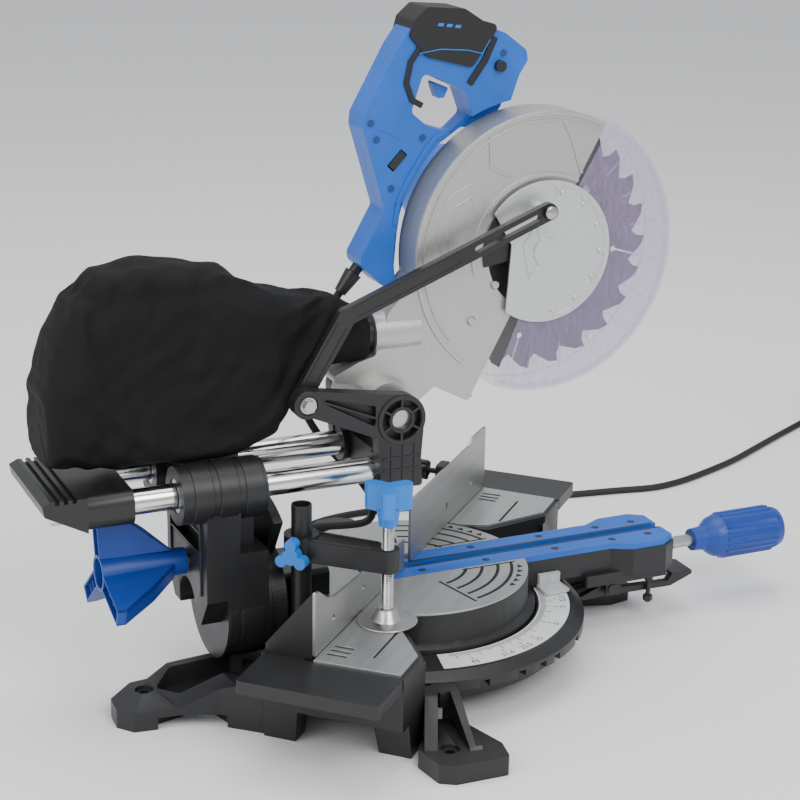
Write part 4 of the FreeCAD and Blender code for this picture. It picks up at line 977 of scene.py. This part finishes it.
HELD = [LUG, (36, LUG[1] + 61 * 0.61, LUG[2] - 61 * 0.79), (58, 92, TABLE + 226), (74, 94, TABLE + 188),
        (76, 84, TABLE + 150), (62, 62, TABLE + 112), (40, 38, TABLE + 86), (32, 26, TABLE + 66)]
HELD = [head_to_base(*p) for p in HELD] + [
    (16, 44, TABLE + 34), (30, 84, TABLE + 18), (36, 124, TABLE + 9), (36, 146, 74), (40, 152, 45),
            (50, 147, 23),
    (CLIP[0] - 2.6, CLIP[1] + 1, CLIP[2])]
FREE = [(CLIP[0] + 21, CLIP[1], CLIP[2]), (120, 151, 17), (148, 176, 10), (184, 206, CORD_R),
        (228, 226, CORD_R), (270, 224, CORD_R), (308, 202, CORD_R), (342, 170, CORD_R), (374, 130, CORD_R),
        (434, 42, CORD_R), (464, 0, CORD_R), (490, -37, CORD_R), (527, -86, CORD_R), (552, -124, CORD_R),
        (590, -151, CORD_R), (643, -175, CORD_R), (695, -196, CORD_R), (760, -214, CORD_R),
                (820, -231, CORD_R),
        (870, -246, CORD_R), (902, -255, CORD_R)]


def nurbs(name, points, matrix):
    curve = bpy.data.curves.new(name, "CURVE")
    curve.dimensions = "3D"
    spline = curve.splines.new("NURBS")
    spline.points.add(len(points) - 1)
    for point, at in zip(spline.points, points):
        point.co = (*(matrix @ Vector(at)), 1.0)
    spline.order_u = 3
    spline.use_endpoint_u = True
    curve.resolution_u = 8
    return curve


def coil_points():
    """Turns of the stored lead: two flat turns inwards, up a layer and two turns out, then into the plug."""
    points, turns, each = [], 4, 14
    for n in range(turns * each + 1):
        t = n / each
        radius = 31.95 + 8 * math.hypot(t - 2, 0.12)
        z = CORD_R + 8.6 * min(1.0, max(0.0, (t - 1.9) / 0.35))
        points.append((*polar(COIL, radius, 100 - 360 * t), z))
    points += [(*polar(COIL, 47.9, angle), z) for angle, z in
               ((74, 13), (48, 14.5), (22, 17), (-4, 20), (-30, 21), (-54, 21), (-74, 21), (-90, 21))]
    x, y = COIL
    points += [(x - 14, y - 47.9, 21), (x - 26, y - 46.6, 21.2)]
    rise = zip(range(243, 98, -18), (22, 24, 26.5, 29, 31.5, 33.5, 35, 35.8, 36.3))
    points += [(*polar((x - 22, y - 12), 34, angle), z) for angle, z in rise]
    return points + [(x - 22, y + 22, 36.3)]


class SAW_OT_leads(bpy.types.Operator):
    """Mains lead: the held stretch from handle to clip and the free stretch with its coil and plug"""

    bl_idname = "saw.leads"
    bl_label = "Mains lead"

    def execute(self, context):
        route = FREE + coil_points()
        curve = nurbs("mains-lead", route, BASE)
        curve.bevel_depth, curve.bevel_resolution, curve.use_fill_caps = CORD_R * MM, 5, True
        curve.materials.append(cord_black())
        lead = bpy.data.objects.new("mains-lead", curve)
        context.scene.collection.objects.link(lead)
        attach(lead, "base")
        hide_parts("supply_cord", "cord_coil")
        line = self.centreline(nurbs("lead-line", route, BASE))
        self.held(context)
        return {"FINISHED"}

    def centreline(self, curve):
        holder = bpy.data.objects.new("line", curve)
        mesh = bpy.data.meshes.new_from_object(holder)
        points = [v.co.copy() for v in mesh.vertices]
        bpy.data.objects.remove(holder)
        return points

    def held(self, context):
        """The stretch held between the handle and the clip, split where it passes each moving body."""
        line = self.centreline(nurbs("held-line", HELD, BASE))
        share = [0, 0.154, 0.5, 0.6, 1.0]
        cuts = [round(s * (len(line) - 1)) for s in share]
        for n in range(4):
            some = line[cuts[n]:cuts[n + 1] + 1]
            curve = bpy.data.curves.new(f"held-{n}", "CURVE")
            curve.dimensions = "3D"
            spline = curve.splines.new("POLY")
            spline.points.add(len(some) - 1)
            for point, at in zip(spline.points, some):
                point.co = (*at, 1.0)
            curve.bevel_depth, curve.bevel_resolution, curve.use_fill_caps = CORD_R * MM, 4, True
            holder = bpy.data.objects.new("tube", curve)
            mesh = bpy.data.meshes.new_from_object(holder)
            bpy.data.objects.remove(holder)
            mesh.name = f"held-lead-{n}"
            mesh.polygons.foreach_set("use_smooth", [True] * len(mesh.polygons))
            mesh.materials.clear()
            mesh.materials.append(cord_black())
            piece = bpy.data.objects.new(f"held-lead-{n}", mesh)
            context.scene.collection.objects.link(piece)
            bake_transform(piece)
            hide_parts("held_lead")


class SAW_OT_stage(bpy.types.Operator):
    """Pale floor, soft studio lights and the camera"""

    bl_idname = "saw.stage"
    bl_label = "Stage"

    def execute(self, context):
        bm = bmesh.new()
        bmesh.ops.create_grid(bm, x_segments=1, y_segments=1, size=6.0)
        mesh = bpy.data.meshes.new("floor")
        bm.to_mesh(mesh)
        bm.free()
        floor = bpy.data.objects.new("floor", mesh)
        mesh.materials.append(finish("floor", lambda n: Finish(n).principled(
            Base_Color=(0.86, 0.86, 0.86, 1), Roughness=0.7)))
        context.scene.collection.objects.link(floor)
        world = bpy.data.worlds.new("studio")
        world.use_nodes = True
        world.node_tree.nodes["Background"].inputs[0].default_value = (0.95, 0.97, 1.0, 1)
        world.node_tree.nodes["Background"].inputs[1].default_value = 0.75
        context.scene.world = world
        power = context.scene.saw_looks.light_power
        for name, at, size, watts in (("key", (-1.6, -1.9, 2.4), 1.6, power),
                ("fill", (-2.2, 1.0, 1.6), 1.8, power * 0.5),
                                      ("top", (0.3, 0.2, 2.6), 2.0, power * 0.6)):
            data = bpy.data.lights.new(name, "AREA")
            data.energy, data.size = watts, size
            light = bpy.data.objects.new(name, data)
            light.location = at
            light.rotation_euler = (Vector((0, 0, 0.25)) - Vector(at)).to_track_quat("-Z", "Y").to_euler()
            context.scene.collection.objects.link(light)
        data = bpy.data.cameras.new("camera")
        data.lens, data.sensor_width = 90.0, 36.0
        data.clip_start, data.clip_end = 0.05, 30.0
        camera = bpy.data.objects.new("camera", data)
        ahead, up = Vector((0.889, 0.334, -0.312)).normalized(), Vector((0.2863, 0.1255, 0.9498))
        right = ahead.cross(up).normalized()
        up = right.cross(ahead)
        turn = Matrix((right, up, -ahead)).transposed().to_4x4()
        camera.matrix_world = Matrix.Translation((-1.762, -0.681, 0.887)) @ turn
        context.scene.collection.objects.link(camera)
        context.scene.camera = camera
        return {"FINISHED"}


OPERATORS = [SAW_OT_stage, SAW_OT_castings, SAW_OT_leads, SAW_OT_guard, SAW_OT_clear_guard, SAW_OT_link,
             SAW_OT_handle, SAW_OT_bevel_handle, SAW_OT_scale, SAW_OT_bracket, SAW_OT_clamp, SAW_OT_table,
             SAW_OT_dust_bag]


class SAW_PT_looks(bpy.types.Panel):
    bl_label = "Mitre saw"
    bl_idname = "SAW_PT_looks"
    bl_space_type = "VIEW_3D"
    bl_region_type = "UI"
    bl_category = "Mitre saw"

    def draw(self, context):
        for name in ("shell_colour", "guard_colour", "edge_width", "bag_fill", "light_power"):
            self.layout.prop(context.scene.saw_looks, name)
        for operator in OPERATORS:
            self.layout.operator(operator.bl_idname)


CLASSES = [SawSettings, *OPERATORS, SAW_PT_looks]


def register():
    for cls in CLASSES:
        bpy.utils.register_class(cls)
    bpy.types.Scene.saw_looks = PointerProperty(type=SawSettings)


def unregister():
    del bpy.types.Scene.saw_looks
    for cls in reversed(CLASSES):
        bpy.utils.unregister_class(cls)


def main():
    register()
    for operator in OPERATORS:
        space, call = operator.bl_idname.split(".")
        getattr(getattr(bpy.ops, space), call)()


if __name__ == "__main__":
    main()
